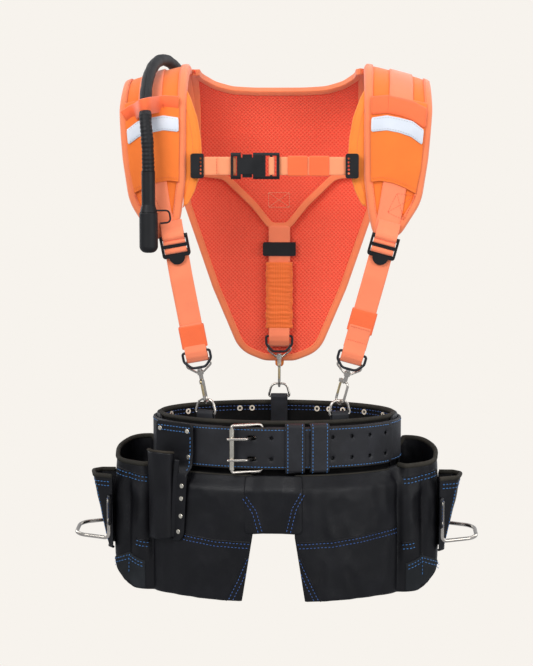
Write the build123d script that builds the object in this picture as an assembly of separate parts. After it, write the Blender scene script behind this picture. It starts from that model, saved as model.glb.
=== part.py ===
from build123d import *
from math import atan, atan2, cos, degrees, pi, radians, sin, sqrt, tan
import os

# Leather tool belt carried by a padded suspender harness with a drinking hose.
# Millimetres, +Z up, the wearer looks along -Y, +X is the wearer's left.
# The origin is the centre of the waist opening at half the belt's height.

os.makedirs("parts", exist_ok=True)

# ---- belt: an oval ring, named by the half width and half depth of each layer ----
LINER_A, LINER_B, LINER_T = 150.0, 89.0, 4.0
PAD_LINER_A, PAD_LINER_B, PAD_LINER_FRONT = 153.8, 92.8, -30.0
STRAP_A, STRAP_B, STRAP_T = 158.0, 97.0, 4.0
TAIL_A, TAIL_B, TAIL_T = 162.3, 101.3, 4.0
BELT_LOW, BELT_HIGH = -26.0, 26.0
LINER_LOW, LINER_HIGH = -44.0, 31.0
LAYER_GAP = 0.3

# ---- buckle ----
BAR_X, BAR_Y = -14.0, -92.7
ROLLER_X, ROLLER_Y = -51.0, -105.8
BAR_R, ROLLER_R = 1.9, 3.3
FRAME_HALF = 29.0
PRONG_R, PRONG_Z = 1.6, 13.0
RUNNING = 0.06
HOLE_R, HOLE_PITCH = 2.6, 25.4

# ---- harness ----
PAD_IN, PAD_OUT = 70.0, 82.0
YOKE_IN, YOKE_OUT = 72.0, 79.0
ARCH_Y, ARCH_Z = 8.0, 385.0
ARCH_LEAN = radians(5.5)
SHOULDER_SLOPE = 0.27
PAD_INNER_X = 110.0
BIND_PROUD = 1.2
WEB_W, WEB_T = 28.0, 2.0
CHEST_Z, CHEST_Y, CHEST_W = 344.0, -78.8, 22.0
SHIELD_FRONT, SHIELD_BACK = 87.0, 96.0
COVER_BACK = 118.0

# ---- hanging hardware ----
LOCK_LEFT = Vector(-120.5, -91.0, 247.0)
LOCK_RIGHT = Vector(132.0, -91.0, 247.0)
RING_LEFT_X, RING_RIGHT_X = -86.0, 80.0
RING_BAR_Z, RING_HALF, RING_TALL, RING_R = 38.0, 13.2, 17.0, 1.5
POST_R = 1.8
HOOK_HALF, HOOK_R, HOOK_LONG = 6.8, 1.6, 30.0
GATE_PIN_R, GATE_EYE_R, GATE_T = 1.0, 2.3, 1.6

# ---- bags ----
BAG_WALL = 2.5
BAG_A, BAG_B = 176.0, 115.0
BAG_FLOOR, BAG_RIM = -190.0, 14.0
RIM_FRONT_Y, RIM_FRONT_Z, RIM_TILT = -57.0, -28.0, 13.0
BAG_INNER_X = 26.0
SKIRT_TOP = -32.0


def save(name, *shapes):
    """Write one node as a STEP file made of separate solids."""
    solids = [solid for shape in shapes for solid in shape.solids()]
    export_step(solids[0] if len(solids) == 1 else Compound(children=solids), f"parts/{name}.step")
    return solids


def both(shape):
    """A shape and its mirror image on the other side of the wearer."""
    return [mirror(shape, about=Plane.YZ), shape]


def block(x0, x1, y0, y1, z0, z1):
    return Pos((x0 + x1) / 2, (y0 + y1) / 2, (z0 + z1) / 2) * Box(x1 - x0, y1 - y0, z1 - z0)


def oval(a, b, z0, z1):
    return extrude(Pos(0, 0, z0) * Ellipse(a, b), z1 - z0)


def oval_ring(a, b, thick, z0, z1):
    return oval(a, b, z0, z1) - oval(a - thick, b - thick, z0 - 1, z1 + 1)


def rod(start, end, radius):
    start, end = Vector(start), Vector(end)
    plane = Plane(origin=start, z_dir=(end - start))
    return extrude(plane * Circle(radius), (end - start).length)


def wire(points, radii, radius, close=False):
    """A round bar bent along straight runs joined by tangent arcs."""
    path = FilletPolyline(*points, radius=radii, close=close)
    section = Plane(origin=path @ 0, z_dir=path % 0) * Circle(radius)
    return sweep(section, path=path)


def front_outline(points, radius):
    """A rounded outline in the front view, cut right through the wearer."""
    face = make_face(FilletPolyline(*points, radius=radius, close=True))
    return extrude(Plane.XZ * face, 260, both=True)


def arch_shell(r_in, r_out, slope, back_low=60.0, front_low=150.0):
    """Sheet that runs up the chest, over the shoulder and down the back, for x > 0."""
    def side(radius):
        top_front = Vector(ARCH_Y - radius * cos(ARCH_LEAN), ARCH_Z + radius * sin(ARCH_LEAN))
        drop = front_low + radius * sin(ARCH_LEAN)
        foot_front = top_front + Vector(-drop * tan(ARCH_LEAN), -drop)
        top = Vector(ARCH_Y, ARCH_Z + radius)
        top_back = Vector(ARCH_Y + radius, ARCH_Z)
        return foot_front, top_front, top, top_back, top_back - Vector(0, back_low)

    out, inn = side(r_out), side(r_in)
    outline = (
        Line(out[0], out[1]) + ThreePointArc(out[1], out[2], out[3]) + Line(out[3], out[4])
        + Line(out[4], inn[4]) + Line(inn[4], inn[3]) + ThreePointArc(inn[3], inn[2], inn[1])
        + Line(inn[1], inn[0]) + Line(inn[0], out[0])
    )
    face = Plane.YZ * make_face(outline)
    sheet = extrude(face, 130, both=True)
    if slope == 0.0:
        return sheet
    hinge = Vector(PAD_INNER_X, 0, ARCH_Z)
    return Pos(*hinge) * Rot(0, degrees(atan(slope)), 0) * Pos(40, 0, -ARCH_Z) * sheet


# ================= belt =================
liner = oval_ring(LINER_A, LINER_B, LINER_T, LINER_LOW, LINER_HIGH)
liner += oval_ring(PAD_LINER_A, PAD_LINER_B, 5.0, LINER_LOW, LINER_HIGH) & block(
    -200, 200, PAD_LINER_FRONT, 200, LINER_LOW, LINER_HIGH)
save("belt_liner", liner)

BUCKLE_END, TAIL_JOIN = -10.3, -64.0
strap = oval_ring(STRAP_A, STRAP_B, STRAP_T, BELT_LOW, BELT_HIGH)
strap -= block(TAIL_JOIN, BUCKLE_END, -120, 0, BELT_LOW - 1, BELT_HIGH + 1)
save("belt_strap", strap)

TAIL_TIP_X, TAIL_START_X = 147.0, -112.0
tail = oval_ring(TAIL_A, TAIL_B, TAIL_T, BELT_LOW, BELT_HIGH)
tail &= block(TAIL_START_X, TAIL_TIP_X, -120, 0, BELT_LOW, BELT_HIGH)


def tail_angle(distance):
    """Angle on the oval of a point at a distance along the tail from the front's middle."""
    angle, gone = -pi / 2, 0.0
    step = 0.002 if distance > 0 else -0.002
    while gone < abs(distance):
        gone += abs(step) * sqrt((TAIL_A * sin(angle)) ** 2 + (TAIL_B * cos(angle)) ** 2)
        angle += step
    return angle


FIRST_HOLE, HOLE_PAIRS = -3.0, 7
for index in range(HOLE_PAIRS):
    angle = tail_angle(FIRST_HOLE + index * HOLE_PITCH)
    normal = Vector(cos(angle) / TAIL_A, sin(angle) / TAIL_B).normalized()
    for level in (-PRONG_Z, PRONG_Z):
        centre = Vector(TAIL_A * cos(angle), TAIL_B * sin(angle), level)
        tail -= rod(centre - normal * 9, centre + normal * 9, HOLE_R)
PRONG_HOLE_X0, PRONG_HOLE_X1 = -33.5, -21.5
for level in (-PRONG_Z, PRONG_Z):
    tail -= block(PRONG_HOLE_X0, PRONG_HOLE_X1, -110, -94, level - 2.6, level + 2.6)
save("belt_tail", tail)

# ---- eyelets round the top edge of the liner ----
EYELET_Z, EYELET_R, EYELET_HOLE = 22.0, 3.6, 1.8
eyelets = []
for x in (-138, -118, -52, -36, 50, 66, 84, 112, 136):
    y = (LINER_B - LINER_T) * sqrt(1 - (x / (LINER_A - LINER_T)) ** 2)
    normal = Vector(x / LINER_A ** 2, y / LINER_B ** 2).normalized()
    foot = Vector(x, y, EYELET_Z)
    ring = rod(foot - normal * 0.9, foot + normal * 0.2, EYELET_R)
    eyelets.append(ring - rod(foot - normal * 2, foot + normal * 2, EYELET_HOLE))
eyelets = [piece - liner for piece in eyelets]
save("belt_eyelets", *eyelets)

# ---- buckle: frame with its fixed bar, roller, two prongs ----
frame_dir = Vector(ROLLER_X - BAR_X, ROLLER_Y - BAR_Y).normalized()


def frame_point(along, z):
    point = Vector(BAR_X, BAR_Y) + frame_dir * along
    return Vector(point.X, point.Y, z)


reach = (Vector(ROLLER_X, ROLLER_Y) - Vector(BAR_X, BAR_Y)).length
buckle_frame = wire(
    [frame_point(0, -FRAME_HALF), frame_point(reach, -FRAME_HALF), frame_point(reach, FRAME_HALF),
     frame_point(0, FRAME_HALF)],
    [6.0, 2.6, 2.6, 6.0], BAR_R, close=True)
save("buckle_frame", buckle_frame)

ROLLER_HALF = 25.5
roller = rod(frame_point(reach, -ROLLER_HALF), frame_point(reach, ROLLER_HALF), ROLLER_R)
roller -= rod(frame_point(reach, -40), frame_point(reach, 40), BAR_R + RUNNING)
save("buckle_roller", roller)

PRONG_EYE_R, PRONG_EYE_HALF = 3.3, 3.0
for name, level in (("buckle_prong_lower", -PRONG_Z), ("buckle_prong_upper", PRONG_Z)):
    axis_point = Vector(BAR_X, BAR_Y, level)
    eye_half = Vector(0, 0, PRONG_EYE_HALF)
    eye = rod(axis_point - eye_half, axis_point + eye_half, PRONG_EYE_R)
    rest_y = ROLLER_Y - ROLLER_R - PRONG_R - 0.25
    shank = wire(
        [(BAR_X - 1.5, BAR_Y, level), (-25.0, -93.6, level), (-32.5, rest_y + 1.6, level),
         (ROLLER_X - 4.5, rest_y - 1.2, level)],
        [3.0, 4.0], PRONG_R)
    tip = Pos(ROLLER_X - 4.5, rest_y - 1.2, level) * Sphere(PRONG_R)
    bore = rod(axis_point - Vector(0, 0, 9), axis_point + Vector(0, 0, 9), BAR_R + RUNNING)
    save(name, (eye + shank + tip) - bore)


# ---- leather keepers round both belt layers ----
KEEPER_TALL, KEEPER_WIDE, KEEPER_DEEP, KEEPER_WALL = 55.0, 24.0, 9.6, 2.6


def keeper(x):
    """Box-shaped leather loop, turned to follow the belt's front at a given x."""
    y = TAIL_B * sqrt(1 - (x / TAIL_A) ** 2)
    turn = degrees(atan2(TAIL_B ** 2 * x, TAIL_A ** 2 * y))
    outer = Box(KEEPER_WIDE, KEEPER_DEEP + 2 * KEEPER_WALL, KEEPER_TALL + 2 * KEEPER_WALL)
    hollow = Box(KEEPER_WIDE + 2, KEEPER_DEEP, KEEPER_TALL)
    shape = fillet((outer - hollow).edges().filter_by(Axis.X), 1.0)
    middle = KEEPER_DEEP / 2 - LAYER_GAP - 0.4
    return Pos(x, middle - y, 0) * Rot(0, 0, turn) * shape


for name, x in (("belt_keeper_inner", 26.0), ("belt_keeper_outer", 56.0)):
    save(name, keeper(x))

# ================= belt D-rings and their tabs =================


def d_ring(half, tall, radius):
    """Upright D in the local XZ plane, its straight bar on the X axis."""
    points = [(-half, 0, 0), (half, 0, 0), (half, 0, tall - half), (half * 0.72, 0, tall),
              (-half * 0.72, 0, tall), (-half, 0, tall - half)]
    return wire(points, [2.2, 2.2, 5.0, 8.0, 8.0, 5.0], radius, close=True)


def ring_place(x, rear):
    """Where a D-ring tab lies on the inside of the liner, and how it is turned."""
    a, b = LINER_A - LINER_T - 4.6, LINER_B - LINER_T - 4.6
    y = b * sqrt(1 - (x / a) ** 2) * (1 if rear else -1)
    turn = degrees(atan2(-x / a ** 2, y / b ** 2)) + (0 if rear else 180)
    return Pos(x, y, 0) * Rot(0, 0, turn)


TAB_W, TAB_T, TAB_LOW = 22.0, 6.6, 4.0
tab_solids, ring_tops = [], {}
for name, x, rear in (("d_ring_left", RING_LEFT_X, False), ("d_ring_right", RING_RIGHT_X, False),
                      ("d_ring_back", 0.0, True)):
    place = ring_place(x, rear)
    ring_tops[name[7:]] = (place * Pos(0, 0, RING_BAR_Z + RING_TALL)).position

    ring = place * Pos(0, 0, RING_BAR_Z) * d_ring(RING_HALF, RING_TALL, RING_R)
    save(name, ring)
    tab = Pos(0, 0, (RING_BAR_Z + TAB_LOW) / 2) * Box(TAB_W, TAB_T, RING_BAR_Z - TAB_LOW)
    tab += Pos(0, 0, RING_BAR_Z) * Rot(0, 90, 0) * Cylinder(TAB_T / 2, TAB_W)
    tab -= Pos(0, 0, RING_BAR_Z) * Rot(0, 90, 0) * Cylinder(RING_R + RUNNING, TAB_W + 2)
    tab_solids.append((place * tab) - liner)
save("d_ring_tabs", *tab_solids)

# ================= snap hooks: body, gate and swivel eye =================
POST_LONG = 6.0


def hook_body():
    """Hook in the local XZ plane; the swivel's axis is +Z and its collar ends at z = 0."""
    top, low = -6.0, -6.0 - HOOK_LONG
    loop = wire(
        [(0, 0, top), (HOOK_HALF, 0, top - 3.5), (HOOK_HALF, 0, low), (-HOOK_HALF, 0, low),
         (-HOOK_HALF, 0, low + 10.5)],
        [4.0, 6.7, 6.7], HOOK_R)
    body = loop + rod((0, 0, top - 1.5), (0, 0, -0.3), 2.6) + rod((0, 0, -1), (0, 0, POST_LONG), POST_R)
    body += rod((0, 0, POST_LONG - 0.3), (0, 0, POST_LONG + 1.5), 2.9)
    for side in (-1, 1):
        y0, y1 = sorted((side * (GATE_T / 2 + 0.15), side * (GATE_T / 2 + 1.1)))
        body += block(-HOOK_HALF - 2.0, 0.5, y0, y1, top - 4.0, top + 0.5)
    pivot = Vector(-HOOK_HALF + 0.6, 0, top - 2.0)
    body += rod(pivot - Vector(0, 1.8, 0), pivot + Vector(0, 1.8, 0), GATE_PIN_R)
    slot = block(-HOOK_HALF - 4, -2.2, -GATE_T / 2 - 0.15, GATE_T / 2 + 0.15, top - 5.2, top + 1.0)
    pin = rod(pivot - Vector(0, 1.8, 0), pivot + Vector(0, 1.8, 0), GATE_PIN_R)
    return (body - slot) + pin


def hook_gate():
    top = -6.0
    low = top - HOOK_LONG + 10.5
    pivot = Vector(-HOOK_HALF + 0.6, 0, top - 2.0)
    half = Vector(0, GATE_T / 2, 0)
    gate = rod(pivot - half, pivot + half, GATE_EYE_R)
    gate += rod((-HOOK_HALF, 0, top - 5.4), (-HOOK_HALF, 0, low + 0.25), HOOK_R - 0.1)
    gate += block(-HOOK_HALF - 0.8, -HOOK_HALF + 1.4, -GATE_T / 2, GATE_T / 2, top - 6.5, top - 2.0)
    return gate - rod(pivot - half * 3, pivot + half * 3, GATE_PIN_R + RUNNING)


def swivel_eye():
    """Flat wire eye that the webbing passes through, with the collar that holds the hook's post."""
    collar = rod((0, 0, 0.3), (0, 0, POST_LONG - 0.6), 3.9)
    corners = [(-13.5, 0, 20.0), (13.5, 0, 20.0), (15.5, 0, 12.0), (4.0, 0, 3.2), (-4.0, 0, 3.2),
               (-15.5, 0, 12.0)]
    eye = wire(corners, [2.5, 2.5, 4.0, 3.0, 3.0, 4.0], 1.25, close=True)
    room = rod((0, 0, POST_LONG - 0.6), (0, 0, POST_LONG + 3.2), 3.3)
    return (collar + eye) - rod((0, 0, -3), (0, 0, 9), POST_R + RUNNING) - room


def strap_ring():
    """Black D that the webbing's end is folded round, hanging arc down in the local XZ plane."""
    half = 17.0
    points = [(-half, 0, 0), (half, 0, 0), (half, 0, -11), (8.5, 0, -20.5), (-8.5, 0, -20.5),
              (-half, 0, -11)]
    return wire(points, [2.5, 2.5, 7.0, 8.0, 8.0, 7.0], 1.6, close=True)


def chain_plane(foot, head):
    """Frame of a hanging strap: +Z up along it, +X across its width, +Y through it."""
    up = (Vector(head) - Vector(foot)).normalized()
    across = Vector(0, 1, 0).cross(up).normalized()
    return Plane(origin=foot, x_dir=across, z_dir=up)


HOOK_REST = 6.0 + HOOK_LONG - HOOK_R - RING_R - 0.5
BACK_Y = 81.4
back_top = Vector(0, BACK_Y, ring_tops["back"].Z)
chains = {}
for name, top, head, spin in (("left", ring_tops["left"], LOCK_LEFT, 84.0),
                              ("right", ring_tops["right"], LOCK_RIGHT, -45.0),
                              ("back", back_top, back_top + Vector(0, 0, 100), 90.0)):
    foot = top + (head - top).normalized() * HOOK_REST
    chains[name] = (chain_plane(foot, head), spin)
eyes, strap_rings = [], []
for name, (plane, spin) in chains.items():
    turned = plane.location * Rot(0, 0, spin)
    save(f"snap_hook_{name}", turned * hook_body())
    save(f"snap_gate_{name}", turned * hook_gate())
    eyes.append(plane.location * swivel_eye())
    strap_rings.append(plane.location * Pos(0, -4.2, 31.0) * strap_ring())
save("swivel_eyes", *eyes)
save("strap_d_rings", *strap_rings)

# ================= hanging webbing =================


def webbing_run(plane, z0, z1, width, thick, y_mid=0.0):
    return plane.location * Pos(0, y_mid, (z0 + z1) / 2) * Box(width, thick, z1 - z0)


def strap_fold(plane, index):
    """The folded, stitched end of a strap round the D and the eye's top bar."""
    bundle = fillet(Box(WEB_W - 1.0, 10.0, 18.0).edges().filter_by(Axis.X), 3.5)
    return plane.location * Pos(0, -2.2, 25.0) * bundle - strap_rings[index] - eyes[index]


LOCK_GAP = 24.0
side_straps = []
for index, name, head in ((0, "left", LOCK_LEFT), (1, "right", LOCK_RIGHT)):
    plane = chains[name][0]
    length = (head - plane.origin).length
    run = webbing_run(plane, 34.0, length - LOCK_GAP, WEB_W, WEB_T, -1.7)
    side_straps += [strap_fold(plane, index), run]
save("side_straps", *side_straps)

keepers = []
for name, z0 in (("left", 36.0), ("right", 58.0)):
    plane = chains[name][0]
    band = Box(WEB_W + 2.4, WEB_T + 2.4, 28) - Box(WEB_W, WEB_T, 30)
    keepers.append(plane.location * Pos(0, -1.7, z0 + 14) * band)
save("side_strap_keepers", *keepers)

back_plane = chains["back"][0]
BACK_STRAP_TOP = 168.0
back_run = webbing_run(back_plane, 34.0, BACK_STRAP_TOP, WEB_W, 1.6, -1.7)
save("back_strap", strap_fold(back_plane, 2), back_run)
SLEEVE_LOW, SLEEVE_HIGH = 40.0, 128.0
sleeve = webbing_run(back_plane, SLEEVE_LOW, SLEEVE_HIGH, 37.0, 4.4, -1.7)
sleeve -= webbing_run(back_plane, 0.0, 300.0, WEB_W, 1.6, -1.7)
save("back_strap_sleeve", sleeve)
slider = webbing_run(back_plane, 136.0, 154.0, 43.0, 4.0, -1.7)
slider -= webbing_run(back_plane, 0.0, 300.0, WEB_W, 1.6, -1.7)
slider = fillet(slider.edges().filter_by(Axis.Y).sort_by(Axis.X)[:2], 2.5)
save("back_strap_slider", slider)

# ================= back panel, yoke and bindings =================
SHIELD = [(-104, 400), (104, 400), (106, 340), (129, 300), (88, 180), (53, 97), (20, 84), (-20, 84),
          (-53, 97), (-88, 180), (-129, 300), (-106, 340)]
SHIELD_INNER = [(-97, 393), (97, 393), (99, 342), (121, 300), (81, 182), (48, 103), (19, 91.5),
                (-19, 91.5), (-48, 103), (-81, 182), (-121, 300), (-99, 342)]
SHIELD_R = [8, 8, 20, 30, 40, 40, 20, 20, 40, 40, 30, 20]
shield_solid = front_outline(SHIELD, SHIELD_R)
shield_core = front_outline(SHIELD_INNER, SHIELD_R)
slab = block(-200, 200, SHIELD_FRONT, SHIELD_BACK, 0, 500)
save("back_panel", shield_core & slab)
rim_slab = block(-200, 200, SHIELD_FRONT, SHIELD_BACK + BIND_PROUD, 0, 500)
shield_binding = (shield_solid - shield_core) & rim_slab

YOKE = [(-108, 520), (-108, 330), (-72, 326), (-34, 289), (-12, 261), (12, 261), (34, 289), (72, 326),
        (108, 330), (108, 520), (100, 455), (60, 438), (-60, 438), (-100, 455)]
YOKE_INNER = [(-108, 512), (-108, 337), (-70, 333), (-29, 294), (-9, 268), (9, 268), (29, 294),
              (70, 333), (108, 337), (108, 512), (103, 446), (60, 431), (-60, 431), (-103, 446)]
YOKE_R = [1, 1, 18, 60, 9, 9, 60, 18, 1, 1, 30, 60, 60, 30]
yoke_solid = front_outline(YOKE, YOKE_R)
yoke_core = front_outline(YOKE_INNER, YOKE_R)
back_half = block(-108, 108, ARCH_Y, 200, 200, 600)
yoke_shell = arch_shell(YOKE_IN, YOKE_OUT, 0.0, back_low=140.0) & back_half
bind_shell = arch_shell(YOKE_IN - BIND_PROUD, YOKE_OUT, 0.0, back_low=140.0) & back_half
save("yoke_panel", yoke_core & yoke_shell)
yoke_binding = (yoke_solid - yoke_core) & bind_shell
save("back_bindings", shield_binding, yoke_binding)

# ---- drink reservoir: fabric cover with a bladder inside, behind the back panel ----
COVER = [(-50, 122), (50, 122), (84, 215), (92, 365), (-92, 365), (-84, 215)]
BLADDER = [(-43, 130), (43, 130), (77, 218), (86, 356), (-86, 356), (-77, 218)]
cover = front_outline(COVER, 26) & block(-200, 200, SHIELD_BACK + BIND_PROUD, COVER_BACK, 0, 500)
bladder = front_outline(BLADDER, 22) & block(-200, 200, SHIELD_BACK + 3.4, COVER_BACK - 2.0, 0, 500)
save("reservoir_bladder", bladder)

# ================= shoulder pads =================
CHEST_SIDE = block(0, 260, -200, ARCH_Y, 0, 600)
PAD = [(108.4, 520), (108.4, 330), (114, 285), (121, 256), (150, 256), (178, 300), (192, 410),
       (186, 520)]
PAD_CORE = [(114, 520), (114, 331), (121, 288), (127, 263), (146, 263), (171, 303), (185, 410),
            (179, 520)]
pad_solid = front_outline(PAD, [1, 60, 30, 14, 22, 60, 80, 1])
pad_core = front_outline(PAD_CORE, [1, 20, 20, 10, 10, 40, 60, 1])
PAD_BACK_LOW = 45.0
pad_shell = arch_shell(PAD_IN, PAD_OUT, SHOULDER_SLOPE, back_low=PAD_BACK_LOW)
pad_bind_shell = arch_shell(
    PAD_IN - BIND_PROUD, PAD_OUT + BIND_PROUD, SHOULDER_SLOPE, back_low=PAD_BACK_LOW)
pad_right = pad_core & pad_shell
binding_right = (pad_solid - pad_core) & pad_bind_shell
save("shoulder_pad_right", pad_right)
save("shoulder_pad_left", mirror(pad_right, about=Plane.YZ))
save("pad_bindings", *both(binding_right))

WEB_OUTLINE = [(118, 258), (148, 258), (160, 330), (167, 430), (167, 500), (137, 500), (137, 430),
               (130, 330)]
web_shell = arch_shell(PAD_OUT, PAD_OUT + 2.0, SHOULDER_SLOPE, back_low=PAD_BACK_LOW)
shoulder_web = front_outline(WEB_OUTLINE, 1.0) & web_shell
shoulder_web -= binding_right
save("shoulder_webbings", *both(shoulder_web))

POCKET = [(116, 322), (170, 316), (184, 418), (116, 424)]
pocket_shell = arch_shell(PAD_OUT + 2.0, PAD_OUT + 4.0, SHOULDER_SLOPE, back_low=-2.0)
pocket = (front_outline(POCKET, 4.0) & pocket_shell & CHEST_SIDE) - binding_right
save("pad_pockets", *both(pocket))

STRIP = [(117, 386), (176, 380), (178, 394), (117, 401)]
strip_shell = arch_shell(PAD_OUT + 4.0, PAD_OUT + 4.6, SHOULDER_SLOPE, back_low=-2.0)
strip = front_outline(STRIP, 1.0) & strip_shell & CHEST_SIDE
save("reflective_strips", *both(strip))

# ================= drinking hose =================
HOSE_R = 7.6
HOSE = [
    (-112, 107, 364), (-112, 107, 410), (-126, 76, 460), (-144, 12, 480), (-156, -57, 458),
    (-156, -98, 408), (-151, -106, 370), (-151, -106, 338),
]


def bend_radii(points):
    """As large an arc at each point as its two runs allow."""
    radii = []
    for before, here, after in zip(points, points[1:], points[2:]):
        first, second = Vector(here) - Vector(before), Vector(after) - Vector(here)
        turn = radians(first.get_angle(second))
        radii.append(0.45 * min(first.length, second.length) / tan(turn / 2))
    return radii


radii = bend_radii(HOSE)
save("drink_hose", wire(HOSE, radii, HOSE_R))
PORT_LOW, PORT_R = 346.0, 9.4
port = rod((-112, 107, PORT_LOW), HOSE[0], PORT_R)
port += block(-124, -80, SHIELD_BACK + BIND_PROUD, COVER_BACK, 330, 360)
save("reservoir_cover", (cover + port) - bladder)

# ---- bite valve, its ring, and the cover that pulls off ----
VALVE_X, VALVE_Y = -151.0, -106.0
valve = rod((VALVE_X, VALVE_Y, 338), (VALVE_X, VALVE_Y, 298), 8.2)
cone = Pos(VALVE_X, VALVE_Y, 293.5) * Cone(10.4, 8.2, 9)
nozzle = rod((VALVE_X, VALVE_Y, 290), (VALVE_X, VALVE_Y, 258), 5.0)
ring = wire(
    [(VALVE_X + 8, VALVE_Y, 291.0), (VALVE_X + 25, VALVE_Y, 291.0), (VALVE_X + 27, VALVE_Y, 277.0),
     (VALVE_X + 14, VALVE_Y, 275.5)], [5.0, 5.0], 1.1)
save("bite_valve", valve + cone + nozzle + ring)
cap = rod((VALVE_X, VALVE_Y, 288.7), (VALVE_X, VALVE_Y, 240), 11.2)
cap = fillet(cap.edges().sort_by(Axis.Z)[:1], 8.0)
cap = fillet(cap.edges().sort_by(Axis.Z)[-1:], 1.5)
cap -= rod((VALVE_X, VALVE_Y, 292), (VALVE_X, VALVE_Y, 252), 5.0 + RUNNING)
save("bite_valve_cover", cap)

# ---- elastic bands across the pads; the left one runs over the hose ----
BAND = [(117, 405), (180, 399), (182, 419), (117, 426)]
band_shell = arch_shell(PAD_OUT + 4.0, PAD_OUT + 5.2, SHOULDER_SLOPE, back_low=-2.0)
band_right = front_outline(BAND, 1.0) & band_shell & CHEST_SIDE
band_left = mirror(band_right, about=Plane.YZ)
hose_bridge = wire(HOSE, radii, HOSE_R + 2.2) & front_outline(
    [(-117, 405), (-180, 399), (-182, 419), (-117, 426)], 1.0)
hose_bridge &= block(-200, 0, -140, -40, 380, 440)
hose_bridge -= mirror(arch_shell(PAD_IN, PAD_OUT + 4.0, SHOULDER_SLOPE, back_low=-2.0), about=Plane.YZ)
band_left = (band_left + hose_bridge) - wire(HOSE, radii, HOSE_R + 0.4)
save("pad_elastics", band_right, band_left)

# ================= chest strap =================
# crescent rails along the inner edges of the pads
RAIL = [(107, 432), (98, 405), (91, 360), (97, 320), (107, 298)]
rail_face = make_face(Spline(*RAIL) + Line(RAIL[-1], RAIL[0]))
rail_cut = extrude(Plane.XZ * rail_face, 260, both=True)
rail_shell = arch_shell(PAD_IN + 3.0, PAD_IN + 7.0, SHOULDER_SLOPE, back_low=-2.0)
rail = rail_cut & rail_shell & CHEST_SIDE
save("sternum_rails", *both(rail))

clip_solids = []
for side in (-1, 1):
    x_mid = side * 94.0
    clip = block(x_mid - 8, x_mid + 8, CHEST_Y - 4.5, CHEST_Y + 2.5, CHEST_Z - 15, CHEST_Z + 15)
    clip = fillet(clip.edges().filter_by(Axis.Y), 3.0)
    hole_x = x_mid - side * 4.0
    for level in (-9, -4.5, 0, 4.5, 9):
        clip -= rod((hole_x, CHEST_Y - 9, CHEST_Z + level), (hole_x, CHEST_Y + 9, CHEST_Z + level), 1.4)
    clip_solids.append(clip)
save("chest_clips", *clip_solids)

WEB_HALF = CHEST_W / 2
SOCKET_X0, SOCKET_X1, PLUG_X1, BUCKLE_HALF = -53.0, -15.0, 6.0, 16.0
CHEST_WEB_Y = CHEST_Y - 1.0


def chest_block(x0, x1, half_deep, half_tall):
    """A bar along the chest strap, centred on its webbing."""
    return block(x0, x1, CHEST_WEB_Y - half_deep, CHEST_WEB_Y + half_deep,
                 CHEST_Z - half_tall, CHEST_Z + half_tall)


left_web = chest_block(-86, SOCKET_X0 + 6.0, 1.5, WEB_HALF)
right_web = chest_block(PLUG_X1 - 7.0, 86, 1.0, WEB_HALF)

socket = fillet(chest_block(SOCKET_X0, SOCKET_X1, 5.0, BUCKLE_HALF).edges().filter_by(Axis.X), 3.0)
socket -= chest_block(SOCKET_X0 + 3, SOCKET_X0 + 7.5, 50.0, WEB_HALF + 0.5)
socket -= chest_block(SOCKET_X0 + 12, SOCKET_X1 + 1, 3.4, 12.0)
for side in (-1, 1):
    z0, z1 = sorted((CHEST_Z + side * 10.0, CHEST_Z + side * 20.0))
    socket -= block(SOCKET_X0 + 12, SOCKET_X0 + 27, -120, 0, z0, z1)
left_web -= block(SOCKET_X0 - 1, SOCKET_X0 + 3, -120, 0, 0, 500)
socket_web = left_web - socket
save("chest_socket", socket)

plug = fillet(chest_block(SOCKET_X1 + 0.2, PLUG_X1, 4.5, BUCKLE_HALF).edges().filter_by(Axis.X), 3.0)
plug -= chest_block(SOCKET_X1 + 4, PLUG_X1 - 3.5, 50.0, 12.4)
plug += Pos(0, -2.15, 0) * chest_block(SOCKET_X1 + 9.5, SOCKET_X1 + 12.5, 1.35, 12.6)
plug += chest_block(SOCKET_X1 - 21, SOCKET_X1 + 1, 2.6, 3.5)
plug -= right_web
save("chest_plug", plug)

LATCH_PIVOT_X, LATCH_PIVOT_Z = SOCKET_X1 - 2.5, 8.6
for name, side in (("chest_latch_lower", -1), ("chest_latch_upper", 1)):
    root_end = Vector(LATCH_PIVOT_X, CHEST_WEB_Y, CHEST_Z + side * LATCH_PIVOT_Z)
    arm = rod(root_end - Vector(0, 2.7, 0), root_end + Vector(0, 2.7, 0), 1.7)
    z0, z1 = sorted((CHEST_Z + side * 7.0, CHEST_Z + side * 10.2))
    arm += block(SOCKET_X0 + 14, LATCH_PIVOT_X, CHEST_WEB_Y - 2.7, CHEST_WEB_Y + 2.7, z0, z1)
    z0, z1 = sorted((CHEST_Z + side * 7.5, CHEST_Z + side * 14.0))
    arm += block(SOCKET_X0 + 14, SOCKET_X0 + 25.5, CHEST_WEB_Y - 2.7, CHEST_WEB_Y + 2.7, z0, z1)
    save(name, arm)

keeper_bands = []
for x0 in (16.0, 42.0):
    outer = chest_block(x0, x0 + 24, 2.4, WEB_HALF + 1.4)
    keeper_bands.append(outer - chest_block(x0 - 1, x0 + 25, 1.4, WEB_HALF + 0.4))
save("chest_keepers", *keeper_bands)
chest_webs = [socket_web, right_web - plug]
save("chest_webbing", *[piece - clip_solids[0] - clip_solids[1] for piece in chest_webs])

# ================= ladder-lock buckles at the feet of the pads =================


LOCK_BAR_Z = 11.6


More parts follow.
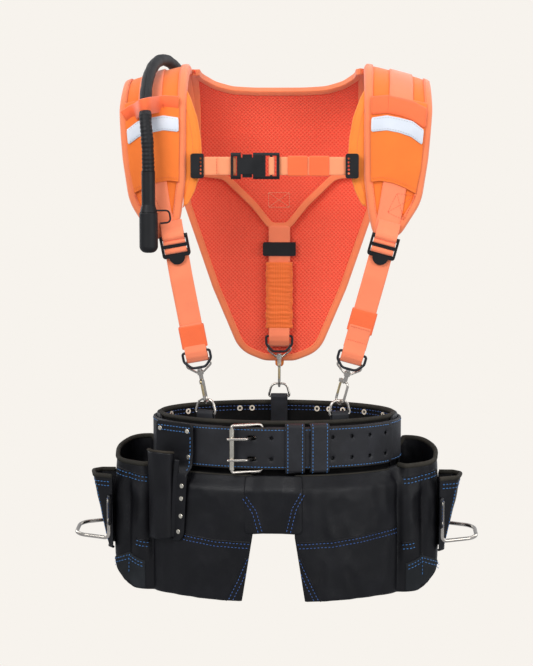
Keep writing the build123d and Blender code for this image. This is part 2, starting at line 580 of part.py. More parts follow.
def ladder_lock(plane):
    """Moulded frame with three bars and a thumb tab; +Z up the strap, bars along X."""
    wide = WEB_W + 6.4
    body = Pos(0, 0, -0.95) * Box(wide, 5.0, 25.1)
    body = fillet(body.edges().filter_by(Axis.Y).sort_by(Axis.Z)[:2], 3.5)
    body += Pos(0, 0, LOCK_BAR_Z) * Rot(0, 90, 0) * Cylinder(2.5, wide)
    body -= Pos(0, 0, 5.8) * Box(WEB_W + 0.8, 9, 6.4)
    body -= Pos(0, 0, -5.0) * Box(WEB_W + 0.8, 9, 8.0)
    tab = Pos(0, -0.4, -13.0) * Rot(90, 0, 0) * Cylinder(9.5, 4.2)
    tab &= Pos(0, 0, -21) * Box(30, 9, 16.2)
    return plane.location * (body + tab)


for name, head in (("left", LOCK_LEFT), ("right", LOCK_RIGHT)):
    plane = chains[name][0]
    save(f"ladder_lock_{name}", ladder_lock(Plane(origin=head, x_dir=plane.x_dir, z_dir=plane.z_dir)))

# ================= leather bags =================


def side_cut(inset, high):
    """The bag's silhouette in the front view, pulled in by the wall's thickness."""
    points = [(BAG_INNER_X + inset, 60), (BAG_INNER_X + inset, -107), (38 + inset, BAG_FLOOR + inset),
              (188 - inset, BAG_FLOOR + 6 + inset), (204 - inset, -160), (204 - inset, 60)]
    silhouette = front_outline(points, [1, 20, 8, 22, 12, 1])
    return silhouette & block(0, 260, -200, 100, BAG_FLOOR - 5, high)


def plan_prism(inset, z0, z1):
    """The bag's footprint: a skirt along the belt and a deep pouch over the hip."""
    skirt = oval(BAG_A - inset, BAG_B - inset, z0, z1) & block(0, 170, -130, 0, z0, z1)
    corners = [(130 + inset, -58 + inset), (166, -57 + inset), (200 - inset, -46 + inset),
               (204.5 - inset, 0), (186 - inset, 34 - inset), (130 + inset, 34 - inset)]
    plan = make_face(FilletPolyline(*corners, radius=[1, 14, 20, 24, 12, 1], close=True))
    pouch = extrude(Pos(0, 0, z0) * plan, z1 - z0)
    inner_a, inner_b = PAD_LINER_A + LAYER_GAP + inset, PAD_LINER_B + LAYER_GAP + inset
    return (skirt + pouch) - oval(inner_a, inner_b, z0 - 1, z1 + 1)


def bag():
    """Open leather bag: its mouth rises from the front of the hip towards the back."""
    outer = plan_prism(0.0, BAG_FLOOR, BAG_RIM) & side_cut(0.0, BAG_RIM)
    room = plan_prism(BAG_WALL, BAG_FLOOR + BAG_WALL, BAG_RIM + 5) & side_cut(BAG_WALL, BAG_RIM + 5)
    above_mouth = Rot(RIM_TILT, 0, 0) * block(-10, 300, 0, 200, 0, 120)
    above_mouth = Pos(0, RIM_FRONT_Y, RIM_FRONT_Z) * above_mouth
    belt_room = oval(TAIL_A + LAYER_GAP, TAIL_B + LAYER_GAP, SKIRT_TOP, BAG_RIM + 10)
    front_room = block(0, 152, -200, 0, SKIRT_TOP, BAG_RIM + 10)
    return (outer - room) - above_mouth - belt_room - front_room


bag_right = bag()
save("bag_right", bag_right)
save("bag_left", mirror(bag_right, about=Plane.YZ))

APRON_A, APRON_B, APRON_LOW, APRON_HEM = BAG_A - 4, BAG_B - 4, -101.0, 4.0
APRON_HALF = BAG_INNER_X - 0.3
apron = oval_ring(APRON_A, APRON_B, 3.0, APRON_LOW, SKIRT_TOP)
apron += oval_ring(APRON_A, APRON_B, APRON_B - PAD_LINER_B, SKIRT_TOP - APRON_HEM, SKIRT_TOP)
apron &= block(-APRON_HALF, APRON_HALF, -140, 0, APRON_LOW, SKIRT_TOP)
save("centre_apron", apron)


def side_pocket(inset, top):
    """Small outer pocket on the hip, tapering down to a point."""
    corners = [(204.6 + inset, -58 + inset), (232 - inset, -46 + inset), (238 - inset, -16),
               (226 - inset, -4 - inset), (204.6 + inset, -4 - inset)]
    plan = make_face(FilletPolyline(*corners, radius=[1, 6, 6, 4, 1], close=True))
    prism = extrude(Pos(0, 0, -150) * plan, top + 150)
    taper = [(180, 20), (239.5 - inset, 20), (216 - inset, -136 + inset), (180, -140 + inset)]
    return prism & front_outline(taper, 1.0)


pocket_right = side_pocket(0.0, -44) - side_pocket(BAG_WALL, -30)
save("side_pockets", *both(pocket_right))

# ---- steel hammer loops held on the bags' side faces by riveted plates ----
LOOP_X0, LOOP_X1, LOOP_R = 208.0, 252.0, 2.4
FRONT_Y, REAR_Y, FRONT_Z, REAR_Z = -66.5, 6.0, -121.0, -112.0
hammer_loop = wire(
    [(LOOP_X0, FRONT_Y, -70), (LOOP_X0, FRONT_Y, FRONT_Z), (LOOP_X1, FRONT_Y + 14, FRONT_Z + 2),
     (LOOP_X1, REAR_Y - 14, REAR_Z - 2), (LOOP_X0, REAR_Y, REAR_Z), (LOOP_X0, REAR_Y, -60)],
    [6.0, 18.0, 18.0, 6.0], LOOP_R)
save("hammer_loops", *both(hammer_loop))

plate_front = block(204.9, 208.6, FRONT_Y - 9, FRONT_Y + 7.0, -106, -64) - hammer_loop
plate_front = plate_front - bag_right
plate_rear = block(204.9, 208.6, REAR_Y - 7, REAR_Y + 9, -100, -54) - hammer_loop - pocket_right
plate_rear = plate_rear - bag_right
plate_groups = []
for plate in (plate_front, plate_rear):
    biggest = sorted(plate.solids(), key=lambda solid: solid.volume)[-1]
    plate_groups += both(biggest)
save("hammer_loop_plates", *plate_groups)

# ================= tool sheath =================
SHEATH_X = -122.0
sheath_y = -TAIL_B * sqrt(1 - (SHEATH_X / TAIL_A) ** 2)
sheath_turn = degrees(atan2(TAIL_B ** 2 * SHEATH_X, -TAIL_A ** 2 * sheath_y))
sheath_place = Pos(SHEATH_X, sheath_y, 0) * Rot(0, 0, sheath_turn)
SHEATH_W, SHEATH_LOW = 60.0, -118.0
flap = block(-SHEATH_W / 2, SHEATH_W / 2, -5.6, -3.2, BELT_LOW, BELT_HIGH + 2)
drop = block(-SHEATH_W / 2, SHEATH_W / 2, -18.6, -16.2, SHEATH_LOW, -32.0)
step = Polyline((-5.6, BELT_LOW), (-3.2, BELT_LOW), (-16.2, -33.0), (-18.6, -33.0), close=True)
bridge = extrude(Plane.YZ * make_face(step), SHEATH_W / 2, both=True)
tube = extrude(Pos(-9, -18.6, SHEATH_LOW) * Ellipse(19, 15), 112.0)
tube -= extrude(Pos(-9, -18.6, SHEATH_LOW - 1) * Ellipse(16.6, 12.6), 120.0)
tube &= block(-60, 60, -60, -18.5, -200, 0)
sheath = sheath_place * (flap + drop + bridge + tube)
sheath -= mirror(bag_right, about=Plane.YZ)
save("tool_sheath", sheath)

# ---- rivets: sheath edge, sheath flap and belt front ----
RIVET_R, RIVET_T = 3.0, 1.4
EDGE_Y, FLAP_Y = -18.62, -5.62
rivets = []
for x, y, z in ((24, EDGE_Y, -48), (23, EDGE_Y, -64), (22, EDGE_Y, -86), (18, EDGE_Y, -106),
                (-22, FLAP_Y, 18), (22, FLAP_Y, 18), (24, FLAP_Y, -14)):
    head = fillet(Cylinder(RIVET_R, RIVET_T).edges().sort_by(Axis.Z)[-1:], 0.6)
    rivets.append(sheath_place * Pos(x, y - RIVET_T / 2, z) * Rot(90, 0, 0) * head)
save("rivets", *rivets)
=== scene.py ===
"""Looks of the tool belt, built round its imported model.

Helpers work in millimetres in the row frame; meshes are written in metres.
"""
import math

import bmesh
import bpy
import numpy as np
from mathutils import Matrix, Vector
from mathutils.geometry import delaunay_2d_cdt
from mathutils.noise import noise


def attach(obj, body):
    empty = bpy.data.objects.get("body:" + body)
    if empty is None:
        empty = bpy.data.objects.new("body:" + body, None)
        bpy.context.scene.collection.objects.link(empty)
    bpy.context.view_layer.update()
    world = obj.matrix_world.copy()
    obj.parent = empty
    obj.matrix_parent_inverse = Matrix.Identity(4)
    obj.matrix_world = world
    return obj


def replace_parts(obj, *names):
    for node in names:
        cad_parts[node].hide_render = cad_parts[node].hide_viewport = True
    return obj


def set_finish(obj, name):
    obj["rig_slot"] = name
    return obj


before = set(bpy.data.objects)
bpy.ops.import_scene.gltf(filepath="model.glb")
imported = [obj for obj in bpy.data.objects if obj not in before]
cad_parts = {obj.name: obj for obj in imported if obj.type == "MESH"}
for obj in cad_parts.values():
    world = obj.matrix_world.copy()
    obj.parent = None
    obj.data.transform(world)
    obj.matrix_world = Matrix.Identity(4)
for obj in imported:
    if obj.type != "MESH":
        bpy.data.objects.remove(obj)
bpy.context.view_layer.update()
MM = 0.001
UV_NAME = "flat"

# ---- shared sizes, as in the CAD source ----
ARCH_Y, ARCH_Z = 8.0, 385.0
LEAN = math.radians(5.5)
SLOPE = math.atan(0.27)
HINGE_X = 110.0
PAD_MID, YOKE_MID, PAD_OUT = 76.0, 75.5, 82.0
PAD_BACK = 45.0
SHIELD_MID = 91.5
TAIL_A, TAIL_B = 162.3, 101.3
STRAP_A, STRAP_B = 158.0, 97.0
LINER_A, LINER_B = 150.0, 89.0
BELT_HALF = 26.0
CHEST_Y, CHEST_Z = -79.8, 344.0
LOCK_LEFT, LOCK_RIGHT = (-120.5, -91.0, 247.0), (132.0, -91.0, 247.0)
PRONG_Z = 13.0


# ================= camera and light =================
def aim(obj, target):
    obj.rotation_euler = (Vector(target) - obj.location).to_track_quat("-Z", "Y").to_euler()


def make_camera():
    azimuth, elevation, distance = math.radians(2.5), math.radians(6.5), 2.3
    target = Vector((-0.0133, 0.0, 0.131))
    back = Vector((math.sin(azimuth) * math.cos(elevation), -math.cos(azimuth) * math.cos(elevation),
                   math.sin(elevation)))
    data = bpy.data.cameras.new("camera")
    camera = bpy.data.objects.new("camera", data)
    bpy.context.scene.collection.objects.link(camera)
    camera.location = target + back * distance
    aim(camera, target)
    data.sensor_width = 36.0
    data.lens = 97.9
    data.clip_end = 60.0
    bpy.context.scene.camera = camera


def area_light(name, place, target, size, power):
    data = bpy.data.lights.new(name, "AREA")
    data.shape = "RECTANGLE"
    data.size, data.size_y = size
    data.energy = power
    light = bpy.data.objects.new(name, data)
    bpy.context.scene.collection.objects.link(light)
    light.location = place
    aim(light, target)


BACKDROP = (0.931, 0.896, 0.847, 1.0)
SURROUND, SURROUND_STRENGTH = (0.90, 0.93, 1.0, 1.0), 0.55
FLOOR_Z = -0.45


def split_by_ray(tree, seen, otherwise, output):
    """Shows one shader to the camera and another to every other ray."""
    ray, mixed = tree.nodes.new("ShaderNodeLightPath"), tree.nodes.new("ShaderNodeMixShader")
    tree.links.new(ray.outputs["Is Camera Ray"], mixed.inputs[0])
    tree.links.new(otherwise.outputs[0], mixed.inputs[1])
    tree.links.new(seen.outputs[0], mixed.inputs[2])
    tree.links.new(mixed.outputs[0], output.inputs["Surface"])


def make_studio():
    """Plain pale backdrop for the camera, with a dimmer surround as light for the product."""
    world = bpy.data.worlds.new("studio")
    bpy.context.scene.world = world
    world.use_nodes = True
    tree = world.node_tree
    seen = tree.nodes["Background"]
    seen.inputs["Color"].default_value = BACKDROP
    surround = tree.nodes.new("ShaderNodeBackground")
    surround.inputs["Color"].default_value = SURROUND
    surround.inputs["Strength"].default_value = SURROUND_STRENGTH
    split_by_ray(tree, seen, surround, tree.nodes["World Output"])
    bpy.context.scene.view_settings.view_transform = "Standard"
    area_light("key", (-1.4, -2.4, 1.9), (0, 0, 0.15), (1.6, 1.6), 60.0)
    area_light("fill", (1.9, -2.0, 0.9), (0, 0, 0.1), (1.8, 1.8), 34.0)
    area_light("rim_left", (-1.6, 1.2, 1.0), (0, 0, 0.0), (0.8, 1.8), 14.0)
    area_light("rim_right", (1.6, 1.2, 1.0), (0, 0, 0.0), (0.8, 1.8), 14.0)
    area_light("top", (0.0, -0.3, 2.6), (0, 0, 0.2), (1.4, 1.4), 14.0)


def make_floor():
    """Plain pale floor below the hanging belt, the colour of the backdrop, and as dim as the surround."""
    bpy.ops.mesh.primitive_circle_add(vertices=64, radius=1.6, fill_type="NGON", location=(0.0, 0.0, FLOOR_Z))
    floor = bpy.context.object
    floor.name = "floor"
    pale = bpy.data.materials.new("floor")
    pale.use_nodes = True
    tree = pale.node_tree
    glow, dim = tree.nodes.new("ShaderNodeEmission"), tree.nodes.new("ShaderNodeEmission")
    glow.inputs["Color"].default_value = BACKDROP
    dim.inputs["Color"].default_value = SURROUND
    dim.inputs["Strength"].default_value = SURROUND_STRENGTH
    split_by_ray(tree, glow, dim, tree.nodes["Material Output"])
    floor.data.materials.append(pale)


make_camera()
make_studio()
make_floor()


# ================= materials =================
class Paint:
    """Small helper for building one node material."""

    def __init__(self, name, color, roughness, metallic=0.0):
        self.material = bpy.data.materials.new(name)
        self.material.use_nodes = True
        self.tree = self.material.node_tree
        self.shader = self.tree.nodes["Principled BSDF"]
        self.shader.inputs["Base Color"].default_value = (*color, 1.0)
        self.shader.inputs["Roughness"].default_value = roughness
        self.shader.inputs["Metallic"].default_value = metallic

    def node(self, kind, **values):
        made = self.tree.nodes.new(kind)
        for key, value in values.items():
            setattr(made, key, value)
        return made

    def link(self, out, target):
        self.tree.links.new(out, target)

    def where(self, flat):
        """Position in metres: along the flat cloth, or in the row frame."""
        if flat:
            return self.node("ShaderNodeUVMap", uv_map=UV_NAME).outputs["UV"]
        return self.node("ShaderNodeTexCoord").outputs["Object"]

    def turned(self, vector, degrees):
        mapping = self.node("ShaderNodeMapping")
        mapping.inputs["Rotation"].default_value = (0.0, 0.0, math.radians(degrees))
        self.link(vector, mapping.inputs["Vector"])
        return mapping.outputs["Vector"]

    def math(self, operation, first, second=0.0):
        made = self.node("ShaderNodeMath", operation=operation)
        for slot_index, value in enumerate((first, second)):
            if isinstance(value, (int, float)):
                made.inputs[slot_index].default_value = value
            else:
                self.link(value, made.inputs[slot_index])
        return made.outputs[0]

    def noise(self, vector, scale, detail=3.0, rough=0.55):
        made = self.node("ShaderNodeTexNoise")
        made.inputs["Scale"].default_value = scale
        made.inputs["Detail"].default_value = detail
        made.inputs["Roughness"].default_value = rough
        self.link(vector, made.inputs["Vector"])
        return made.outputs["Fac"]

    def ribs(self, vector, axis, pitch):
        """Rounded ribs across one axis, pitch in metres, from 0 to 1."""
        split = self.node("ShaderNodeSeparateXYZ")
        self.link(vector, split.inputs[0])
        turned = self.math("MULTIPLY", split.outputs[axis], math.pi / pitch)
        return self.math("ABSOLUTE", self.math("SINE", turned))

    def tint(self, factor, dark, light, low=0.3, high=0.7):
        ramp = self.node("ShaderNodeValToRGB")
        ramp.color_ramp.elements[0].position = low
        ramp.color_ramp.elements[1].position = high
        ramp.color_ramp.elements[0].color = (*dark, 1.0)
        ramp.color_ramp.elements[1].color = (*light, 1.0)
        self.link(factor, ramp.inputs["Fac"])
        return ramp.outputs["Color"]

    def mix(self, factor, first, second):
        """Two colour outputs mixed by a fixed factor."""
        made = self.node("ShaderNodeMix", data_type="RGBA")
        made.inputs[0].default_value = factor
        for name, color in (("A", first), ("B", second)):
            self.link(color, [s for s in made.inputs if s.name == name and s.type == "RGBA"][0])
        return [s for s in made.outputs if s.type == "RGBA"][0]

    def finish(self, color, rough, height, bump, depth):
        """Links colour, roughness if it varies, and a bump of the given strength and depth in metres."""
        self.link(color, self.shader.inputs["Base Color"])
        if rough is not None:
            self.link(rough, self.shader.inputs["Roughness"])
        made = self.node("ShaderNodeBump")
        made.inputs["Strength"].default_value = bump
        made.inputs["Distance"].default_value = depth
        self.link(height, made.inputs["Height"])
        self.link(made.outputs["Normal"], self.shader.inputs["Normal"])
        return self.material


def linear(hex_color):
    """Linear colour of an sRGB hex code."""
    parts = [int(hex_color[i:i + 2], 16) / 255 for i in (0, 2, 4)]
    return tuple(p / 12.92 if p <= 0.04045 else ((p + 0.055) / 1.055) ** 2.4 for p in parts)


def shade(color, factor):
    return tuple(min(1.0, c * factor) for c in color)


def woven(name, color, pitch, rough=0.82, sheen=0.25, bump=0.5):
    """Plain weave: two rib sets, with soft stains of tone, and painted shade in the grooves between the threads."""
    paint = Paint(name, color, rough)
    place = paint.where(True)
    weave = paint.math("MULTIPLY", paint.ribs(place, 0, pitch), paint.ribs(place, 1, pitch * 1.15))
    broad = paint.noise(paint.where(False), 28.0)
    tone = paint.tint(broad, shade(color, 0.86), shade(color, 1.08))
    # Painted shade: darker in the grooves between the threads.
    fine = paint.tint(weave, shade(color, 0.80), shade(color, 1.06), 0.0, 0.7)
    paint.shader.inputs["Sheen Weight"].default_value = sheen
    paint.shader.inputs["Sheen Roughness"].default_value = 0.5
    return paint.finish(paint.mix(0.45, tone, fine), None, weave, bump, 0.0003)


def ribbed_tape(name, color, pitch=0.0011, axis=1, rough=0.7):
    """Woven tape: strong ribs across it and fine warp threads along it, with painted shade in the grooves between
    them.
    """
    paint = Paint(name, color, rough)
    place = paint.where(True)
    ribs = paint.ribs(place, axis, pitch)
    warp = paint.ribs(place, 1 - axis, pitch * 0.55)
    height = paint.math("ADD", paint.math("MULTIPLY", ribs, 0.75), paint.math("MULTIPLY", warp, 0.25))
    tone = paint.tint(paint.noise(paint.where(False), 40.0), shade(color, 0.9), shade(color, 1.05))
    # Painted shade: darker in the grooves between the ribs.
    fine = paint.tint(height, shade(color, 0.84), shade(color, 1.05), 0.1, 0.8)
    paint.shader.inputs["Sheen Weight"].default_value = 0.3
    return paint.finish(paint.mix(0.5, tone, fine), None, height, 0.6, 0.0003)


def spacer_mesh(name, color, dimple_shade, glow, pitch=0.0036):
    """Open knitted mesh: staggered dimples with painted shade in them, and painted highlight on the yarn between
    them.
    """
    paint = Paint(name, color, 0.75)
    place = paint.turned(paint.where(True), 45)
    first, second = paint.ribs(place, 0, pitch), paint.ribs(place, 1, pitch)
    cell = paint.math("MULTIPLY", first, second)
    # Painted shade and highlight: the dimples take the dark colour and the yarn ridges the pale glow colour.
    dimple_shade_and_yarn_highlight = paint.tint(cell, glow, dimple_shade, 0.35, 0.85)
    broad = paint.tint(paint.noise(paint.where(False), 14.0), shade(color, 0.9), shade(color, 1.08))
    height = paint.math("SUBTRACT", 1.0, cell)
    paint.shader.inputs["Sheen Weight"].default_value = 0.2
    return paint.finish(paint.mix(0.4, dimple_shade_and_yarn_highlight, broad), None, height, 0.8, 0.0009)


def leather(name, color, rough, grain=700.0, wear=None, bump=0.35, broad=0.35, gleam=0.16):
    """Grained leather: pebbles, creases, and paler rubbed patches."""
    paint = Paint(name, color, rough)
    paint.shader.inputs["Specular IOR Level"].default_value = gleam
    place = paint.where(False)
    cells = paint.node("ShaderNodeTexVoronoi", feature="DISTANCE_TO_EDGE")
    cells.inputs["Scale"].default_value = grain
    paint.link(place, cells.inputs["Vector"])
    pebble = paint.math("MINIMUM", cells.outputs["Distance"], 0.25)
    crease = paint.noise(place, 60.0, 5.0, 0.6)
    height = paint.math("ADD", paint.math("MULTIPLY", pebble, 1.6), paint.math("MULTIPLY", crease, broad))
    worn = wear or shade(color, 2.1)
    tone = paint.tint(paint.noise(place, 22.0, 4.0), color, worn, 0.45, 0.85)
    gloss = paint.tint(paint.noise(place, 35.0, 3.0), (rough - 0.08,) * 3, (rough + 0.14,) * 3)
    return paint.finish(tone, gloss, height, bump, 0.0006)


def metal(name, color, rough):
    paint = Paint(name, color, rough, 1.0)
    place = paint.where(False)
    fine = paint.noise(place, 900.0, 2.0)
    broad = paint.noise(place, 60.0, 3.0)
    tone = paint.tint(broad, shade(color, 0.78), shade(color, 1.05))
    gloss = paint.tint(broad, (rough - 0.05,) * 3, (rough + 0.12,) * 3)
    return paint.finish(tone, gloss, fine, 0.08, 0.0002)


def moulded(name, color, rough, grain=1400.0, bump=0.25, gleam=0.3):
    paint = Paint(name, color, rough)
    paint.shader.inputs["Specular IOR Level"].default_value = gleam
    place = paint.where(False)
    fine = paint.noise(place, grain, 2.0)
    broad = paint.noise(place, 50.0, 3.0)
    tone = paint.tint(broad, shade(color, 0.8), shade(color, 1.35))
    gloss = paint.tint(broad, (rough - 0.06,) * 3, (rough + 0.12,) * 3)
    return paint.finish(tone, gloss, fine, bump, 0.0002)


BRAID_PITCH = 0.0032


def braid(name, color):
    """Braided sleeve: crossing diagonal strands along a tube's UV, with painted highlight on the strands and painted
    shade between them.
    """
    paint = Paint(name, color, 0.62)
    place = paint.where(True)
    left = paint.ribs(paint.turned(place, 38), 0, BRAID_PITCH)
    right = paint.ribs(paint.turned(place, -38), 0, BRAID_PITCH)
    height = paint.math("MAXIMUM", left, right)
    # Painted highlight and shade: strand tops up to 1.7 times the colour, the gaps between strands down to half of
    # it.
    tone = paint.tint(height, shade(color, 0.5), shade(color, 1.7), 0.3, 0.95)
    return paint.finish(tone, None, height, 0.8, 0.0006)


MESH = linear("FF5234")
BINDING = linear("FF8552")
PAD = linear("FF7A24")
WEB = linear("FF865A")
ELASTIC = linear("FF6B33")
RAIL = linear("FF8A2E")
SLEEVE = linear("FF7420")
REFLECT = linear("D3D8E0")
BLACK_BAG = linear("0B0B0E")
BLACK_BELT = linear("1A1A1D")
BLUE = linear("2B74B8")
NICKEL = linear("C9C2B8")
PLASTIC = linear("111214")

mats = {
    # Mesh colours: a deep red painted as shade in the dimples, and a pale orange painted as highlight on the yarn.
    "mesh": spacer_mesh("mesh_fabric", MESH, linear("F02A08"), linear("FF6848")),
    "binding": woven("binding_tape", BINDING, 0.0008, sheen=0.35),
    "pad": woven("pad_nylon", PAD, 0.0007),
    "pad_back": spacer_mesh("pad_back_mesh", MESH, linear("E03008"), linear("FF7048"), 0.003),
    "web": ribbed_tape("webbing", WEB),
    "web_fine": ribbed_tape("chest_webbing", linear("FF9868"), 0.0009, 0),
    "elastic": ribbed_tape("elastic", ELASTIC, 0.0009, 0),
    "rail": woven("rail_nylon", RAIL, 0.0007),
    "sleeve": woven("sleeve_nylon", SLEEVE, 0.0005, rough=0.55),
    "reflect": woven("reflective_tape", REFLECT, 0.0005, rough=0.35, sheen=0.0, bump=0.15),
    "cover": woven("cover_nylon", shade(PAD, 0.96), 0.0009),
    "bladder": moulded("bladder_film", linear("BFD0DB"), 0.3),
    "braid": braid("hose_braid", linear("0F0F11")),
    "rubber": moulded("valve_rubber", linear("101012"), 0.5),
    "plastic": moulded("black_plastic", PLASTIC, 0.42),
    "steel_black": moulded("black_steel", linear("1E2125"), 0.3, 2000.0, 0.1),
    "bag": leather("bag_leather", BLACK_BAG, 0.40, gleam=0.24),
    "bag_inside": leather("bag_suede", linear("0C0B0B"), 0.85, 1500.0, linear("1B1917"), 0.5),
    "suede": leather("suede_patch", linear("222426"), 0.85, 1600.0, linear("34373A"), 0.6),
    "roll": leather("rolled_edge", linear("2A2823"), 0.75, 1300.0, linear("3E3A33"), 0.5),
    "belt": leather("belt_leather", BLACK_BELT, 0.5, 1100.0, linear("2B2C31"), 0.22, 0.2, 0.3),
    "raw_edge": leather("raw_edge", linear("2B2722"), 0.8, 1800.0, linear("4A4338"), 0.5),
    "nickel": metal("nickel", NICKEL, 0.22),
    "nickel_bright": metal("rivet_nickel", linear("DDD6C6"), 0.2),
    # Eyelets: a pale non-metal plate whose brightness is a painted highlight standing in for the nickel's reflection.
    "eyelet_highlight": moulded("eyelet_painted_highlight", linear("D8CDBB"), 0.35, gleam=0.5),
    "brass": metal("gate_brass", linear("C8B58C"), 0.26),
    "blue": ribbed_tape("blue_thread", BLUE, 0.0006, 0, 0.6),
    # A shaded copy of the blue thread: a darker blue painted as shade, for the stitches on the bag, apron, liner and
    # plates.
    "blue_shaded": ribbed_tape("blue_thread_shaded", linear("174D94"), 0.0006, 0, 0.6),
    "orange_thread": ribbed_tape("orange_thread", linear("E8501E"), 0.0006, 0, 0.6),
    "pale_thread": ribbed_tape("pale_thread", linear("FF9C74"), 0.0006, 0, 0.6),
    "grey_thread": ribbed_tape("grey_thread", linear("8C919A"), 0.0006, 0, 0.6),
}
SLOT_GROUPS = {
    "mesh_fabric": ["mesh", "pad_back"],
    "binding": ["binding", "pale_thread"],
    "pad_fabric": ["pad", "rail", "cover"],
    "webbing": ["web", "web_fine", "orange_thread"],
    "elastic": ["elastic"],
    "sleeve": ["sleeve"],
    "reflective": ["reflect", "grey_thread"],
    "bladder": ["bladder"],
    "hose": ["braid"],
    "valve_rubber": ["rubber"],
    "black_plastic": ["plastic"],
    "black_steel": ["steel_black"],
    "bag_leather": ["bag", "bag_inside", "suede", "roll", "blue_shaded"],
    "belt_leather": ["belt", "raw_edge", "blue"],
    "nickel": ["nickel", "nickel_bright", "brass", "eyelet_highlight"],
}
SLOTS = {key: slot for slot, keys in SLOT_GROUPS.items() for key in keys}


# ================= plane geometry =================
def unit_rows(rows):
    """Each row of an array scaled to length one."""
    return rows / np.maximum(np.linalg.norm(rows, axis=1, keepdims=True), 1e-9)


def run_along(points):
    """Distance along a polyline at each of its points."""
    return np.concatenate([[0.0], np.cumsum(np.linalg.norm(np.diff(points, axis=0), axis=1))])


def signed_area(loop):
    """Area of a closed loop, positive if it runs anticlockwise."""
    after = np.roll(loop, -1, axis=0)
    return 0.5 * np.sum(loop[:, 0] * after[:, 1] - after[:, 0] * loop[:, 1])


def left_normals(loop):
    """Unit normals on the left of a closed loop."""
    tangent = unit_rows(np.roll(loop, -1, axis=0) - np.roll(loop, 1, axis=0))
    return np.stack([-tangent[:, 1], tangent[:, 0]], axis=1)


def resample(points, step, close=False):
    """Evenly spaced points along a polyline, in any number of dimensions."""
    line = np.asarray(points, float)
    if close:
        line = np.vstack([line, line[:1]])
    run = run_along(line)
    keep = np.concatenate([[True], np.diff(run) > 1e-9])
    line, run = line[keep], run[keep]
    count = max(3, int(round(run[-1] / step)))
    at = np.linspace(0.0, run[-1], count + 1)
    out = np.stack([np.interp(at, run, line[:, k]) for k in range(line.shape[1])], axis=1)
    return out[:-1] if close else out


def rounded(points, radii, close=True, fine=1.0):
    """Corner points joined by straight runs and tangent arcs."""
    points = [np.asarray(p, float) for p in points]
    count = len(points)
    if isinstance(radii, (int, float)):
        radii = [radii] * count
    out = []
    for index in range(count):
        here = points[index]
        if not close and index in (0, count - 1):
            out.append(here)
            continue
        before, after = points[index - 1] - here, points[(index + 1) % count] - here
        long_a, long_b = np.linalg.norm(before), np.linalg.norm(after)
        before, after = before / long_a, after / long_b
        half = math.acos(max(-1.0, min(1.0, float(before @ after)))) / 2
        if half > math.pi / 2 - 1e-3 or radii[index] <= 0:
            out.append(here)
            continue
        reach = min(radii[index] / math.tan(half), 0.48 * min(long_a, long_b))
        radius = reach * math.tan(half)
        middle = before + after
        middle /= np.linalg.norm(middle)
        centre = here + middle * (radius / math.sin(half))
        start, end = here + before * reach - centre, here + after * reach - centre
        sweep_angle = math.pi - 2 * half
        steps = max(2, int(radius * sweep_angle / fine) + 1)
        for k in range(steps + 1):
            f = k / steps
            weight_a, weight_b = math.sin((1 - f) * sweep_angle), math.sin(f * sweep_angle)
            out.append(centre + (start * weight_a + end * weight_b) / math.sin(sweep_angle))
    return np.array(out)


def inside(points, loop):
    """Which of the points lie in the closed loop."""
    x, y = points[:, 0:1], points[:, 1:2]
    a, b = loop, np.roll(loop, -1, axis=0)
    crosses = (a[:, 1] > y) != (b[:, 1] > y)
    rise = np.where(np.abs(b[:, 1] - a[:, 1]) < 1e-12, 1e-12, b[:, 1] - a[:, 1])
    at = a[:, 0] + (y - a[:, 1]) / rise * (b[:, 0] - a[:, 0])
    return (np.sum(crosses & (x < at), axis=1) % 2) == 1


def edge_distance(points, loops):
    """Distance from each point to the nearest of the closed loops."""
    best = np.full(len(points), 1e9)
    for loop in loops:
        run = np.roll(loop, -1, axis=0) - loop
        length = np.maximum((run ** 2).sum(axis=1), 1e-12)
        for start in range(0, len(points), 2000):
            part = points[start:start + 2000]
            offset = part[:, None, :] - loop[None, :, :]
            t = np.clip((offset * run).sum(axis=2) / length, 0, 1)
            gap = np.linalg.norm(offset - t[..., None] * run, axis=2).min(axis=1)
            best[start:start + 2000] = np.minimum(best[start:start + 2000], gap)
    return best


def crown(distance, reach, low, high):
    """Rises from low at an edge to high at the given distance from it, along a quarter circle."""
    t = 1 - np.clip(distance / reach, 0, 1)
    return low + (high - low) * np.sqrt(np.clip(1 - t * t, 0, 1))


def level(height):
    """A sheet's face at one height everywhere."""
    return lambda u, v, d: np.full(len(u), height)


def domed(reach, low, high, base=0.0):
    """A sheet's face at base, crowned from low at its edge to high at the given distance from it."""
    return lambda u, v, d: base + crown(d, reach, low, high)


def hollowed(reach, low, high, base=0.0):
    """As domed, on the other side of base."""
    return lambda u, v, d: base - crown(d, reach, low, high)


def bumps(points, size, seed):
    """Smooth noise from -1 to 1 at 3-D points, lumps about size across."""
    return np.array([noise(Vector(p) / size + Vector((seed, seed * 1.7, -seed))) for p in points])


# ================= mesh makers =================
def new_object(name, verts, faces, material, uvs, body="root", slots=None, face_slots=None):
    """A mesh object in the row frame from millimetre points, riding on a body."""
    mesh = bpy.data.meshes.new(name)
    mesh.from_pydata([tuple(float(c) * MM for c in v) for v in verts], [], [list(map(int, f)) for f in faces])
    layer = mesh.uv_layers.new(name=UV_NAME)
    index = np.empty(len(mesh.loops), dtype=np.int64)
    mesh.loops.foreach_get("vertex_index", index)
    layer.data.foreach_set("uv", (np.asarray(uvs, float)[index] * MM).ravel())
    for key in ([material] if slots is None else slots):
        mesh.materials.append(mats[key])
    if face_slots is not None:
        mesh.polygons.foreach_set("material_index", np.asarray(face_slots, dtype=np.int32))
    helper = bmesh.new()
    helper.from_mesh(mesh)
    bmesh.ops.recalc_face_normals(helper, faces=helper.faces)
    helper.to_mesh(mesh)
    helper.free()
    mesh.polygons.foreach_set("use_smooth", [True] * len(mesh.polygons))
    obj = bpy.data.objects.new(name, mesh)
    bpy.context.scene.collection.objects.link(obj)
    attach(obj, body)
    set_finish(obj, SLOTS[material])
    return obj


